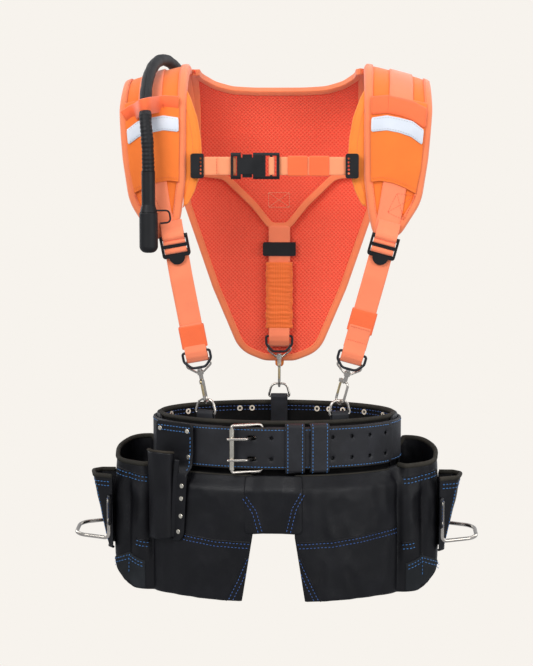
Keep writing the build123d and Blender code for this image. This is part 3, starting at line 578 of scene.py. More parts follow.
class Sheet:
    """A closed sheet of cloth or leather between a front and a back face.

    loops[0] is its flat outline and the rest are holes. place(u, v, w) puts flat coordinates and a height in
    space, and front and back give a face's height from u, v and the distance to the nearest edge. Rings are
    distances from the edge that get their own row of points.
    """

    def __init__(self, loops, place, front, back, step=4.0, rings=(0.8, 2.2)):
        self.loops = [resample(loop, min(step, 3.0), close=True) for loop in loops]
        self.place, self.front, self.back, self.step, self.rings = place, front, back, step, rings

    def build(self, name, material, body="root", slots=None, back_slot=0):
        seeds = list(self.loops)
        edges, start = [], 0
        for loop in self.loops:
            count = len(loop)
            edges += [(start + k, start + (k + 1) % count) for k in range(count)]
            start += count
        for offset in self.rings:
            for loop in self.loops:
                for side in (1, -1):
                    moved = loop + left_normals(loop) * offset * side
                    keep = self.has(moved) & (edge_distance(moved, self.loops) > offset * 0.9)
                    seeds.append(moved[keep])
        low, high = self.loops[0].min(axis=0), self.loops[0].max(axis=0)
        rows = np.arange(low[1], high[1], self.step * 0.87)
        grid = [(x + (self.step / 2 if k % 2 else 0), y) for k, y in enumerate(rows)
                for x in np.arange(low[0], high[0], self.step)]
        grid = np.array(grid)
        grid = grid[self.has(grid)]
        clear = max([0.0, *self.rings]) + self.step * 0.55
        seeds.append(grid[edge_distance(grid, self.loops) > clear])
        flat = np.vstack(seeds)
        result = delaunay_2d_cdt([Vector(p) for p in flat], edges, [], 0, 1e-5)
        flat = np.array([tuple(v) for v in result[0]])
        faces = np.array([f for f in result[2] if len(f) == 3])
        faces = faces[self.has(flat[faces].mean(axis=1))]
        used = np.unique(faces)
        lookup = np.full(len(flat), -1)
        lookup[used] = np.arange(len(used))
        flat, faces = flat[used], lookup[faces]
        distance = edge_distance(flat, self.loops)
        count = len(flat)
        front = self.place(flat[:, 0], flat[:, 1], self.front(flat[:, 0], flat[:, 1], distance))
        back = self.place(flat[:, 0], flat[:, 1], self.back(flat[:, 0], flat[:, 1], distance))
        seen = {}
        for a, b, c in faces:
            for pair in ((a, b), (b, c), (c, a)):
                key = (min(pair), max(pair))
                seen[key] = None if key in seen else pair
        rim = [pair for pair in seen.values() if pair is not None]
        all_faces = [tuple(f) for f in faces] + [(f[2] + count, f[1] + count, f[0] + count) for f in faces]
        all_faces += [(b, a, a + count, b + count) for a, b in rim]
        face_slots = [0] * len(faces) + [back_slot] * len(faces) + [0] * len(rim)
        return new_object(name, np.vstack([front, back]), all_faces, material, np.vstack([flat, flat]),
                          body, slots, face_slots)

    def has(self, points):
        keep = inside(points, self.loops[0])
        for loop in self.loops[1:]:
            keep &= ~inside(points, loop)
        return keep

    def path(self, flat, lift=0.0, front=True):
        """Points and outward normals of a flat line, on the sheet's front or back."""
        flat = np.asarray(flat, float)
        distance = edge_distance(flat, self.loops)
        height = (self.front if front else self.back)(flat[:, 0], flat[:, 1], distance)
        sign = 1.0 if front else -1.0
        here = self.place(flat[:, 0], flat[:, 1], height + lift * sign)
        out = self.place(flat[:, 0], flat[:, 1], height + (lift + 1.0) * sign)
        return here, unit_rows(out - here)


def tangents(path, close):
    if close:
        along = np.roll(path, -1, axis=0) - np.roll(path, 1, axis=0)
    else:
        along = np.gradient(path, axis=0)
    return unit_rows(along)


def sweep(name, path, normals, section, material, close=False, body="root", scale=None):
    """A section carried along a path; its first axis lies across the path and its second along the normal."""
    path, normals, section = np.asarray(path, float), np.asarray(normals, float), np.asarray(section, float)
    along = tangents(path, close)
    side = unit_rows(np.cross(along, normals))
    up = np.cross(side, along)
    scale = np.ones(len(path)) if scale is None else np.asarray(scale, float)
    count, ring = len(path), len(section)
    verts = (path[:, None, :] + side[:, None, :] * section[:, 0][None, :, None] * scale[:, None, None]
             + up[:, None, :] * section[:, 1][None, :, None] * scale[:, None, None]).reshape(-1, 3)
    run, round_run = run_along(path), run_along(section)
    uvs = np.stack([np.repeat(round_run[None, :], count, 0), np.repeat(run[:, None], ring, 1)], axis=2)
    faces = []
    for i in range(count if close else count - 1):
        j = (i + 1) % count
        faces += [(i * ring + k, i * ring + (k + 1) % ring, j * ring + (k + 1) % ring, j * ring + k)
                  for k in range(ring)]
    if not close:
        faces.append(tuple(range(ring - 1, -1, -1)))
        faces.append(tuple(range((count - 1) * ring, count * ring)))
    return new_object(name, verts, faces, material, uvs.reshape(-1, 2), body)


def oval_section(half_wide, half_tall, count, power=2.0):
    """A rounded section: power 2 is an ellipse, and more is squarer."""
    angle = np.linspace(0, 2 * math.pi, count, endpoint=False)
    c, s = np.cos(angle), np.sin(angle)
    x = np.sign(c) * np.abs(c) ** (2 / power) * half_wide
    y = np.sign(s) * np.abs(s) ** (2 / power) * half_tall
    return np.stack([x, y], axis=1)


def stitches(name, lines, material, length, gap, radius, body="root", lift=0.12):
    """Separate thread stitches along lines of (points, normals), each dipping into the cloth at its ends."""
    along_steps = np.array([-1.0, -0.8, -0.4, 0.0, 0.4, 0.8, 1.0])
    thick = np.array([0.35, 0.8, 1.0, 1.0, 1.0, 0.8, 0.35])
    ring = 6
    angle = np.arange(ring) * 2 * math.pi / ring
    verts, faces, uvs = [], [], []
    for path, normals in lines:
        run = run_along(path)
        count = max(1, int((run[-1] + gap) / (length + gap)))
        pitch = run[-1] / count
        for k in range(count):
            middle = (k + 0.5) * pitch
            at = np.clip(middle + along_steps * (pitch - gap) / 2, 0, run[-1])
            points = np.stack([np.interp(at, run, path[:, c]) for c in range(3)], axis=1)
            normal = np.array([np.interp(middle, run, normals[:, c]) for c in range(3)])
            normal /= np.linalg.norm(normal)
            along = points[-1] - points[0]
            along /= max(np.linalg.norm(along), 1e-9)
            side = np.cross(along, normal)
            base = len(verts)
            height = lift - radius * 0.9 * along_steps ** 4
            for m in range(len(along_steps)):
                centre = points[m] + normal * height[m]
                for a in angle:
                    verts.append(centre + (side * math.cos(a) + normal * math.sin(a)) * radius * thick[m])
                    uvs.append((a * radius, along_steps[m] * length / 2))
            for m in range(len(along_steps) - 1):
                low, high = base + m * ring, base + (m + 1) * ring
                faces += [(low + q, low + (q + 1) % ring, high + (q + 1) % ring, high + q) for q in range(ring)]
            faces.append(tuple(base + q for q in range(ring - 1, -1, -1)))
            last = base + (len(along_steps) - 1) * ring
            faces.append(tuple(last + q for q in range(ring)))
    return new_object(name, verts, faces, material, uvs, body)


def flip(points):
    """Mirror image of points on the other side of the wearer."""
    return points * np.array([-1.0, 1.0, 1.0])


def mirrored(obj):
    """A copy of a right-hand piece on the other side of the wearer."""
    name = obj.name.replace("right", "left")
    mesh = obj.data.copy()
    mesh.name = name
    count = len(mesh.vertices)
    flat = np.empty(count * 3)
    mesh.vertices.foreach_get("co", flat)
    flat[0::3] *= -1.0
    mesh.vertices.foreach_set("co", flat)
    mesh.flip_normals()
    made = bpy.data.objects.new(name, mesh)
    bpy.context.scene.collection.objects.link(made)
    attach(made, "root")
    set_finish(made, obj["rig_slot"])
    return made


def both_replace(obj, node):
    """Makes a right-hand piece and its mirror image stand for one CAD node."""
    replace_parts(obj, node)
    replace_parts(mirrored(obj), node)


def inset(loop, distance, step=3.0):
    """A closed loop moved inwards by a distance, without folding over itself."""
    loop = resample(loop, step, close=True)
    moved = loop + left_normals(loop) * distance * (1 if signed_area(loop) > 0 else -1)
    return moved[edge_distance(moved, [loop]) > distance * 0.97]


def closed_smooth(path, rounds):
    """Light smoothing of a closed path."""
    for _ in range(rounds):
        path = 0.5 * path + 0.25 * (np.roll(path, 1, axis=0) + np.roll(path, -1, axis=0))
    return path


# ================= the drinking hose, a cord =================
HOSE_D = 15.2
HOSE = [
    (-112, 107, 364), (-112, 107, 410), (-126, 76, 460), (-144, 12, 480), (-156, -57, 458), (-156, -98, 408),
    (-151, -106, 370), (-151, -106, 338),
]


def nurbs_route(points):
    """An open NURBS curve with the route's points as its control points."""
    curve = bpy.data.curves.new("route", "CURVE")
    curve.dimensions = "3D"
    curve.resolution_u = 24
    spline = curve.splines.new("NURBS")
    spline.points.add(len(points) - 1)
    for point, place in zip(spline.points, points):
        point.co = (*(c * MM for c in place), 1.0)
    spline.order_u = 3
    spline.use_endpoint_u = True
    return curve


def route_points(curve, step):
    """Even points along a curve, in millimetres, as Blender draws it."""
    holder = bpy.data.objects.new("route_reader", curve)
    mesh = bpy.data.meshes.new_from_object(holder)
    points = np.array([v.co[:] for v in mesh.vertices]) / MM
    bpy.data.objects.remove(holder)
    bpy.data.meshes.remove(mesh)
    return resample(points, step)


def make_hose():
    """Braided sleeve up to the ribbed end, as one tube that follows the NURBS route."""
    line = route_points(nurbs_route(HOSE), 1.2)
    count = len(line)
    run = np.linspace(0, 1, count)
    total = float(np.linalg.norm(np.diff(line, axis=0), axis=1).sum())
    at = run * total
    left = total - at
    reference = np.tile([1.0, 0.0, 0.0], (count, 1))
    radius = np.full(count, HOSE_D / 2 - 0.35)
    ribbed = left < 68
    radius[ribbed] = HOSE_D / 2 - 0.2 + 0.28 * np.cos(at[ribbed] * 2 * math.pi / 4.8)
    radius += 0.18 * np.sin(at * 0.21) + 0.12 * np.sin(at * 0.37 + 1.0)
    section = oval_section(1.0, 1.0, 24)
    hose = sweep("drink_hose_sleeve", line, reference, section, "braid", scale=radius)
    layer = hose.data.uv_layers[UV_NAME]
    for item in layer.data:
        item.uv[0] *= HOSE_D / 2
    hose.data.materials.append(mats["rubber"])
    ring = len(section)
    for polygon in hose.data.polygons:
        if left[min(min(polygon.vertices) // ring, count - 1)] < 68:
            polygon.material_index = 1
    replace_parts(hose, "drink_hose")
    return line


hose_line = make_hose()


# ================= shoulder arch =================
def arch_place(mid, slope, hinge):
    """Place function on the shoulder arch: u across, v along it from the chest, w outwards."""
    back_at = mid * (math.pi - LEAN)

    def place(u, v, w):
        u, v, w = np.asarray(u, float), np.asarray(v, float), np.asarray(w, float)
        reach = mid + w
        swing = LEAN + np.clip(v, 0, back_at) / mid
        chest = np.minimum(v, 0.0)
        y = ARCH_Y - reach * np.cos(swing) + chest * math.sin(LEAN)
        z = reach * np.sin(swing) + chest * math.cos(LEAN) - np.maximum(v - back_at, 0.0)
        x = hinge + u * math.cos(slope) + z * math.sin(slope)
        return np.stack([x, y, ARCH_Z - u * math.sin(slope) + z * math.cos(slope)], axis=1)
    return place


def arch_flat(points, mid, slope, hinge, behind=False):
    """Front-view x and z to the arch's flat coordinates, on the chest or behind."""
    points = np.asarray(points, float)
    dx, dz = points[:, 0] - hinge, points[:, 1] - ARCH_Z
    u = dx * math.cos(slope) - dz * math.sin(slope)
    z = dx * math.sin(slope) + dz * math.cos(slope)
    swing = np.arcsin(np.clip(z / mid, -1, 1))
    if behind:
        v = np.where(z < 0, mid * (math.pi - LEAN) - z, mid * (math.pi - swing - LEAN))
    else:
        low = mid * math.sin(LEAN)
        v = np.where(z < low, (z - low) / math.cos(LEAN), mid * (swing - LEAN))
    return np.stack([u, v], axis=1)


def pad_flat(points, mid=PAD_MID):
    return arch_flat(points, mid, SLOPE, HINGE_X)


def arch_rise(v, mid):
    """Height above the hinge of the arch's middle layer at v."""
    back_at = mid * (math.pi - LEAN)
    swing = LEAN + np.clip(v, 0, back_at) / mid
    return mid * np.sin(swing) + np.minimum(v, 0) * math.cos(LEAN) - np.maximum(v - back_at, 0)


def across_at(v, x_of_z):
    """Flat u where the arch meets a front-view line x(z), for each v."""
    rise = arch_rise(v, PAD_MID)
    u = np.zeros_like(v)
    for _ in range(12):
        z = ARCH_Z - u * math.sin(SLOPE) + rise * math.cos(SLOPE)
        u = (x_of_z(z) - HINGE_X - rise * math.sin(SLOPE)) / math.cos(SLOPE)
    return u


PAD_INNER = 108.4
pad_place = arch_place(PAD_MID, SLOPE, HINGE_X)
yoke_place = arch_place(YOKE_MID, 0.0, 0.0)
PAD_BACK_AT = PAD_MID * (math.pi - LEAN)


def pad_outer(z):
    return np.interp(z, (300, 352, 410, 520), (178, 186.2, 191.2, 186))


def pad_outline():
    low = rounded([(PAD_INNER, 352), (PAD_INNER, 330), (114, 285), (121, 256), (150, 256), (178, 300),
                   (186.2, 352)], [0, 60, 30, 14, 22, 60, 0], close=False)
    low = pad_flat(low)
    end = PAD_BACK_AT + PAD_BACK - 0.5
    outer_rows = np.arange(low[-1, 1] + 6, end - 14, 4.0)
    inner_rows = np.arange(low[0, 1] + 6, end - 14, 4.0)
    outer = np.stack([across_at(outer_rows, pad_outer), outer_rows], axis=1)
    inner = np.stack([across_at(inner_rows, lambda z: np.full_like(z, PAD_INNER)), inner_rows], axis=1)
    ends = np.array([end, end])
    corner_u = [across_at(ends, pad_outer)[0], across_at(ends, lambda z: np.full_like(z, PAD_INNER))[0]]
    points = [*low, *outer, (corner_u[0], end), (corner_u[1], end), *inner[::-1]]
    radii = [0] * (len(low) + len(outer)) + [11, 11] + [0] * len(inner)
    return rounded(points, radii)


PAD_LOOP = pad_outline()


def make_pad():
    """Foam pad: crowned, a little lumpy, with its edge drawn in under the binding."""
    core = inset(PAD_LOOP, 3.4)

    def front(u, v, d):
        soft = 0.35 * np.sin(v * 0.06 + 0.8) * np.sin(u * 0.05)
        return crown(d, 15.0, 2.6, 5.75) + soft * np.clip(d / 12, 0, 1) * (d > 0) - 0.2

    sheet = Sheet([core], pad_place, front, hollowed(13.0, 2.6, 5.8), step=4.2, rings=(1.2, 3.0))
    right = sheet.build("shoulder_pad_cushion_right", "pad", slots=["pad", "pad_back"], back_slot=1)
    for side, obj in (("right", right), ("left", mirrored(right))):
        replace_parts(obj, f"shoulder_pad_{side}")


make_pad()


def tape_section(inner, tall, outer):
    """Folded tape round an edge: a lip on each face and a full round outside."""
    front = [
        (-inner, tall - 0.9), (-inner, tall - 0.25), (-inner + 1.0, tall), (-inner * 0.45, tall + 0.05),
        (0.0, tall - 0.35), (outer * 0.55, tall * 0.82), (outer * 0.88, tall * 0.5), (outer, tall * 0.15),
    ]
    return np.array(front + [(a, -b) for a, b in reversed(front)])


def flat_line(place, flat, w):
    """Points and outward normals of a flat line at height w."""
    flat = np.asarray(flat, float)
    here = place(flat[:, 0], flat[:, 1], np.full(len(flat), w))
    out = place(flat[:, 0], flat[:, 1], np.full(len(flat), w + 1.0))
    return here, unit_rows(out - here)


def closed_line(loop, distance):
    """A closed line of points at a distance inside a loop."""
    line = closed_smooth(inset(loop, distance), 2)
    return np.vstack([line, line[:1]])


BIND_STEP, PUCKER_SIZE, PUCKER_HIGH = 2.4, 16.0, 0.22


def bind(name, place, loop, w_mid, inner, tall, outer, seed):
    """Slightly puckered binding tape round a closed flat loop, its middle outer mm inside the loop."""
    centre = closed_smooth(inset(loop, outer, BIND_STEP), 3)
    centre = resample(centre, BIND_STEP, close=True)
    here, normals = flat_line(place, centre, w_mid)
    here = here + normals * (bumps(here, PUCKER_SIZE, seed) * PUCKER_HIGH)[:, None]
    return sweep(name, here, normals, tape_section(inner, tall, outer), "binding", close=True)


def both_sides(name, lines, **sizes):
    """Orange stitches on the right-hand piece and their mirror image on the left."""
    mirrored(stitches(f"{name}_right", lines, "orange_thread", **sizes))


both_replace(bind("pad_binding_right", pad_place, PAD_LOOP, 0.0, 6.2, 6.9, 3.6, seed=2.0), "pad_bindings")
both_sides("pad_binding_stitch", [flat_line(pad_place, closed_line(PAD_LOOP, 8.4), 6.95)],
           length=2.6, gap=1.4, radius=0.24, lift=0.05)

# ---- crescent rails along the pads' inner edges ----
RAIL_POINTS = [
    (112, 440), (104, 424), (96, 402), (91.5, 376), (90.5, 356), (93, 334), (99, 314), (106, 300), (113, 292),
]


def make_rail():
    arc = resample(pad_flat(RAIL_POINTS), 3.0)
    inner_edge = pad_flat([(PAD_INNER + 3.0, z) for z in np.linspace(292, 440, 30)])
    loop = np.vstack([arc, inner_edge[1:-1]])
    sheet = Sheet([loop], pad_place, domed(6.0, 0.3, 1.9, -0.9), hollowed(6.0, 0.3, 1.7, -0.9), step=3.0,
                  rings=(0.8,))
    both_replace(sheet.build("sternum_rail_right", "rail"), "sternum_rails")
    here, normals = flat_line(pad_place, arc[2:-2], -0.9)
    mirrored(sweep("sternum_rail_piping_right", here, normals, oval_section(1.5, 1.5, 12), "rail"))
    seam_arc = pad_flat([(x + 9.0, z) for x, z in RAIL_POINTS[1:-1]])
    seam = flat_line(pad_place, resample(seam_arc, 3.0), 1.05)
    both_sides("sternum_rail_stitch", [seam], length=2.2, gap=1.2, radius=0.22, lift=0.05)


make_rail()

# ---- wide webbing over each shoulder ----
WEB_HALF = 14.6
WEB_ROUTE = [(134, 257), (141, 292), (147, 330), (151, 372), (152.5, 410), (152.5, 432)]


def shoulder_route():
    """Centre line of the shoulder webbing in flat coordinates, from the pad's foot to behind."""
    front = pad_flat(WEB_ROUTE, PAD_OUT)
    rows = np.arange(front[-1, 1] + 8, PAD_BACK_AT + 26, 8.0)
    over = np.stack([across_at(rows, lambda z: np.full_like(z, 152.5)), rows], axis=1)
    return resample(np.vstack([front, over]), 3.0)


def ribbon_loop(line, half):
    """Flat outline of a tape of the given half width along a line."""
    along = tangents(np.hstack([line, np.zeros((len(line), 1))]), False)[:, :2]
    side = np.stack([along[:, 1], -along[:, 0]], axis=1)
    return np.vstack([line + side * half, (line - side * half)[::-1]])


WEB_LINE = shoulder_route()


def make_shoulder_webbing():
    sheet = Sheet([ribbon_loop(WEB_LINE, WEB_HALF)], pad_place, domed(1.0, 0.9, 1.75, 6.1), level(6.0),
                  step=3.2, rings=(0.7,))
    both_replace(sheet.build("shoulder_webbing_right", "web"), "shoulder_webbings")
    corner = [(-11, 31), (11, 27), (11, 59), (-11, 56)]
    start = WEB_LINE[0]

    def on_web(points):
        """Across and up the webbing from its foot to flat coordinates."""
        return np.array([start + np.array([0.19 * b + a, b]) for a, b in points])

    box = on_web(corner)
    lines = [np.vstack([box, box[:1]]), box[[0, 2]], box[[1, 3]]]
    bar = [on_web([(-12, 14 + k), (12, 13 + k)]) for k in (0.0, 1.4)]
    rows = [resample(line, 2.0) for line in lines + bar]
    both_sides("webbing_box_stitch", [flat_line(pad_place, row, 7.85) for row in rows],
               length=2.4, gap=0.9, radius=0.3, lift=0.08)


make_shoulder_webbing()

# ---- pad pocket with its folded mouth and curved hem ----
POCKET_POINTS = [
    (115.5, 424), (115.5, 400), (116, 360), (116.5, 325), (128, 326.5), (143, 324), (158, 318), (171, 311),
    (177, 340), (181, 380), (184, 416), (160, 421), (140, 424),
]


def make_pocket():
    loop = pad_flat(POCKET_POINTS, 85.0)
    edge = pad_flat(POCKET_POINTS[3:8], 85.0)

    def swell(u, v):
        return 0.9 * np.exp(-((u - 38) / 26) ** 2) * np.sin(np.clip((v + 70) / 100, 0, 1) * math.pi)

    def front(u, v, d):
        return 8.3 + crown(d, 4.0, 0.3, 1.3) + swell(u, v) * np.clip(d / 10, 0, 1)

    sheet = Sheet([loop], pad_place, front, level(8.05), step=3.4, rings=(0.8,))
    both_replace(sheet.build("pad_pocket_right", "pad"), "pad_pockets")
    here, normals = sheet.path(resample(edge, 2.5) + np.array([0.0, 0.6]), -0.4)
    mirrored(sweep("pad_pocket_hem_right", here, normals, oval_section(1.0, 0.85, 10), "pad"))
    lines = [sheet.path(resample(edge, 2.5) + np.array([0.0, 4.4]))]
    both_sides("pad_pocket_stitch", lines, length=2.2, gap=1.1, radius=0.22, lift=0.06)


make_pocket()


def band(name, points, material, low, high):
    """A flat band sewn on the pad, from front-view corner points on the right side."""
    loop = pad_flat(rounded(points, 1.0), 87.0)
    sheet = Sheet([loop], pad_place, domed(1.2, 0.3, high - low, low), level(low), step=3.0, rings=(0.6,))
    return sheet, sheet.build(f"{name}_right", material)


STRIP_POINTS = [(116.5, 401), (116.5, 385), (135, 387), (150, 384), (165, 379), (178.5, 369), (180, 386),
                (166, 396), (150, 400), (135, 403)]
strip_sheet, strip_right = band("reflective_strip", STRIP_POINTS, "reflect", 10.6, 11.2)
both_replace(strip_right, "reflective_strips")
strip_rows = []
for edge, shift in ((STRIP_POINTS[1:6], 2.0), (STRIP_POINTS[6:] + STRIP_POINTS[:1], -2.0)):
    row = resample(pad_flat([(x, z + shift) for x, z in edge], 87.0), 2.5)[1:-1]
    strip_rows.append(strip_sheet.path(row))
mirrored(stitches("reflective_stitch_right", strip_rows, "grey_thread", length=2.0, gap=1.3, radius=0.2, lift=0.05))

BAND_POINTS = [
    (116, 424), (116, 404), (135, 405), (150, 402), (165, 397), (181.5, 387), (183.5, 409), (166, 418),
    (150, 422), (135, 425),
]
band_sheet, band_right = band("pad_elastic", BAND_POINTS, "elastic", 10.6, 11.9)
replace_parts(band_right, "pad_elastics")
divide = resample(pad_flat([(136, 405.5), (136.5, 424.5)], 87.0), 2.0)
stitches("elastic_stitch_right", [band_sheet.path(divide)], "orange_thread", length=2.0, gap=0.7,
         radius=0.28, lift=0.08)


def make_hose_band():
    """The left elastic, lifted over the hose that it holds."""
    line = resample(pad_flat([(116.5, 415), (136, 415.5), (150, 412.5), (166, 408), (182, 398)], 87.0), 1.6)
    surface, out = flat_line(pad_place, line, 11.0)
    surface, out = flip(surface), flip(out)
    near = hose_line[np.argmin(np.abs(hose_line[:, 2] - 411) + 200 * (hose_line[:, 1] > -40))]
    gap = surface[:, 0] - near[0]
    reach = HOSE_D / 2 + 1.0
    path = surface.copy()
    for index, offset in enumerate(gap):
        if abs(offset) < reach:
            target_y = near[1] - math.sqrt(reach ** 2 - offset ** 2)
        else:
            pull = max(0.0, 1 - (abs(offset) - reach) / 9.0) ** 2
            target_y = surface[index, 1] * (1 - pull) + near[1] * pull
        path[index, 1] = min(path[index, 1], target_y)
    for _ in range(3):
        path[1:-1] = 0.5 * path[1:-1] + 0.25 * (path[2:] + path[:-2])
    normals = np.cross(tangents(path, False), [0.0, -0.15, 1.0])
    normals *= np.sign(-normals[:, 1:2])
    half = 10.2
    section = [(-half, -0.5), (-half + 0.6, 0.65), (half - 0.6, 0.65), (half, -0.5), (half - 0.4, -0.7),
               (-half + 0.4, -0.7)]
    made = sweep("pad_elastic_left", path, normals, section, "elastic")
    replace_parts(made, "pad_elastics")
    seam_at = len(path) // 4
    cross = path[seam_at] + np.linspace(-8.5, 8.5, 8)[:, None] * np.array([0, 0.05, 1.0])
    row = (cross + normals[seam_at] * 0.7, np.tile(normals[seam_at], (8, 1)))
    stitches("hose_band_stitch", [row], "orange_thread", length=2.0, gap=0.7, radius=0.28)


make_hose_band()

# ================= yoke between the pads =================
YOKE_TOP = YOKE_MID * (math.pi / 2 - LEAN) + 2.0


def yoke_outline():
    half = [(107.6, 330), (72, 326), (34, 289), (12, 261)]
    lower = arch_flat(half + [(-x, z) for x, z in reversed(half)], YOKE_MID, 0.0, 0.0, behind=True)
    neck = [(-100, 455), (-84, 445), (-60, 438.5), (-30, 437), (30, 437), (60, 438.5), (84, 445), (100, 455)]
    neck = arch_flat(neck, YOKE_MID, 0.0, 0.0, behind=True)
    points = [(107.6, YOKE_TOP), *lower, (-107.6, YOKE_TOP), (-101.5, YOKE_TOP), *neck, (101.5, YOKE_TOP)]
    radii = [1, 1, 18, 60, 12, 12, 60, 18, 1, 1, 1, 24, 30, 40, 60, 60, 40, 30, 24, 1]
    return rounded(points, radii)[::-1]


YOKE_LOOP = yoke_outline()


def make_yoke():
    def inner(u, v, d):
        puff = 0.4 * np.clip(d / 10, 0, 1)
        return -crown(d, 12.0, 1.4, 3.1) - puff

    sheet = Sheet([inset(YOKE_LOOP, 2.6)], yoke_place, domed(9.0, 1.6, 3.2), inner, step=4.6, rings=(1.2,))
    made = sheet.build("yoke_mesh_panel", "mesh")
    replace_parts(made, "yoke_panel")
    tape = bind("yoke_binding", yoke_place, YOKE_LOOP, -0.4, 6.0, 3.9, 3.2, seed=5.0)
    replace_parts(tape, "back_bindings")
    here, normals = flat_line(yoke_place, closed_line(YOKE_LOOP, 7.6), -4.35)
    stitches("yoke_binding_stitch", [(here, -normals)], "orange_thread", length=2.6, gap=1.4, radius=0.22,
             lift=0.05)
    box = arch_flat([(-14, 306), (13, 306), (13, 287), (-14, 287)], YOKE_MID, 0.0, 0.0, behind=True)
    lines = [np.vstack([box, box[:1]]), box[[0, 2]], box[[1, 3]]]
    marks = [sheet.path(resample(line, 2.0), 0.1, front=False) for line in lines]
    stitches("yoke_box_stitch", marks, "pale_thread", length=2.4, gap=0.6, radius=0.45, lift=0.3)


make_yoke()

# ================= back panel =================
SHIELD_HALF = [(104, 400), (106, 340), (129, 300), (88, 180), (53, 97), (20, 84)]


def shield_place(u, v, w):
    u, v, w = np.asarray(u, float), np.asarray(v, float), np.asarray(w, float)
    return np.stack([u, SHIELD_MID - w, v], axis=1)


def make_shield():
    points = [*SHIELD_HALF[::-1], *[(-x, z) for x, z in SHIELD_HALF]]
    radii = [20, 40, 40, 30, 20, 8, 8, 20, 30, 40, 40, 20]
    loop = rounded(points, radii)
    if signed_area(loop) <= 0:
        loop = loop[::-1]

    def front(u, v, d):
        soft = 0.4 * np.sin(u * 0.045 + 0.6) * np.sin(v * 0.035)
        return crown(d, 14.0, 1.8, 4.0) + soft * np.clip(d / 14, 0, 1)

    sheet = Sheet([inset(loop, 2.8)], shield_place, front, hollowed(12.0, 1.8, 4.3), step=4.8, rings=(1.2,))
    made = sheet.build("back_mesh_panel", "mesh")
    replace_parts(made, "back_panel")
    tape = bind("back_panel_binding", shield_place, loop, -0.2, 6.2, 4.9, 3.4, seed=8.0)
    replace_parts(tape, "back_bindings")
    stitches("back_binding_stitch", [flat_line(shield_place, closed_line(loop, 7.8), 4.75)], "orange_thread",
             length=2.6, gap=1.4, radius=0.22, lift=0.05)
    tab = [(-6, 90), (-5.5, 79), (-3.5, 76.5), (3.5, 76.5), (5.5, 79), (6, 90)]
    tab_sheet = Sheet([rounded(tab[::-1], 1.5)], shield_place, domed(1.0, 0.1, 0.8, 1.0),
                      hollowed(1.0, 0.1, 0.8, -0.2), step=2.5, rings=(0.5,))
    tab_sheet.build("back_panel_tab", "rail")


make_shield()


# ---- reservoir cover behind the panel ----
def make_cover():
    loop = rounded([(-50, 122), (50, 122), (84, 215), (92, 365), (-92, 365), (-84, 215)], 26)

    def back(u, v, d):
        sag = 1.6 * np.sin(np.clip((365 - v) / 245, 0, 1) * math.pi)
        return -7.2 - crown(d, 26.0, 1.0, 17.2) - sag * np.clip(d / 26, 0, 1)

    def above_cover(height):
        """A face that follows the cover at a height from it."""
        return lambda u, v, d: back(u, v, edge_distance(np.stack([u, v], 1), [loop])) + height

    sheet = Sheet([loop], shield_place, level(-5.9), back, step=5.0, rings=(1.2, 3.0))
    made = sheet.build("reservoir_cover_shell", "cover")
    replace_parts(made, "reservoir_cover")
    here, normals = sheet.path(closed_line(loop, 7.0), front=False)
    sweep("reservoir_piping", here[:-1], normals[:-1], oval_section(1.3, 1.3, 10), "binding", close=True)
    zip_line = np.array([(-62.0 + k * 4.0, 338.0) for k in range(32)])
    here, normals = sheet.path(zip_line, front=False)
    sweep("reservoir_zip_tape", here, normals, oval_section(6.0, 0.7, 12, 4.0), "elastic")
    teeth = [(here + normals * 0.5, normals)]
    stitches("reservoir_zip_teeth", teeth, "plastic", length=2.2, gap=0.9, radius=1.3, lift=0.2)
    rows = [sheet.path(resample([(-70.0, z), (70.0, z)], 4.0), front=False) for z in (318.0, 300.0)]
    stitches("reservoir_stitch", rows, "orange_thread", length=2.8, gap=1.5, radius=0.28)
    reflect = Sheet([rounded([(-72, 303), (72, 303), (72, 315), (-72, 315)], 1.0)], shield_place,
                    above_cover(0.3), above_cover(-0.7), step=4.0, rings=())
    reflect.build("reservoir_reflective_strip", "reflect")
    post = np.array([(-112.0, 107.0, z) for z in np.linspace(343, 364, 12)])
    flare = 9.2 + 0.6 * np.cos(np.linspace(0, 6 * math.pi, 12))
    flare[0] = 8.6
    sleeve = sweep("hose_port_sleeve", post, np.tile([1.0, 0, 0], (12, 1)), oval_section(1.0, 1.0, 24),
                   "rubber", scale=flare)
    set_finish(sleeve, "hose")
    hold = rounded([(-124, 330), (-84, 330), (-84, 360), (-124, 360)], 7)
    holder = Sheet([hold], shield_place, hollowed(5, 3.0, 0.0, -5.9), hollowed(9.0, 0.0, 5.0, -21.0),
                   step=3.0, rings=(1.0,))
    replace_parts(holder.build("hose_port_pouch", "cover"), "reservoir_cover")


make_cover()


# ================= hanging straps =================
UP = np.array([0.0, 0.0, 1.0])
HOOK_REST = 32.4
RING_A, RING_B = 141.4, 80.4


def unit(v):
    return np.asarray(v, float) / np.linalg.norm(v)


class Axes:
    """Frame of a strap or buckle: u across its width, v up along it and w towards its outside."""

    def __init__(self, origin, up):
        self.origin, self.up = np.asarray(origin, float), up
        self.across = unit(np.cross([0, 1, 0], up))
        self.out = -np.cross(up, self.across)

    def place(self, u, v, w):
        u, v, w = (np.asarray(k, float)[:, None] for k in (u, v, w))
        return self.origin + self.across * u + self.up * v + self.out * w

    def at(self, u, v, w):
        return self.place([u], [v], [w])[0]


def ring_top(x):
    return (x, -RING_B * math.sqrt(1 - (x / RING_A) ** 2), 55.0)


class Chain(Axes):
    """A hanging strap, from a belt ring's top up to the strap's head."""

    def __init__(self, top, head):
        up = unit(np.subtract(head, top))
        super().__init__(np.asarray(top, float) + up * HOOK_REST, up)
        self.length = float(np.linalg.norm(np.subtract(head, self.origin)))


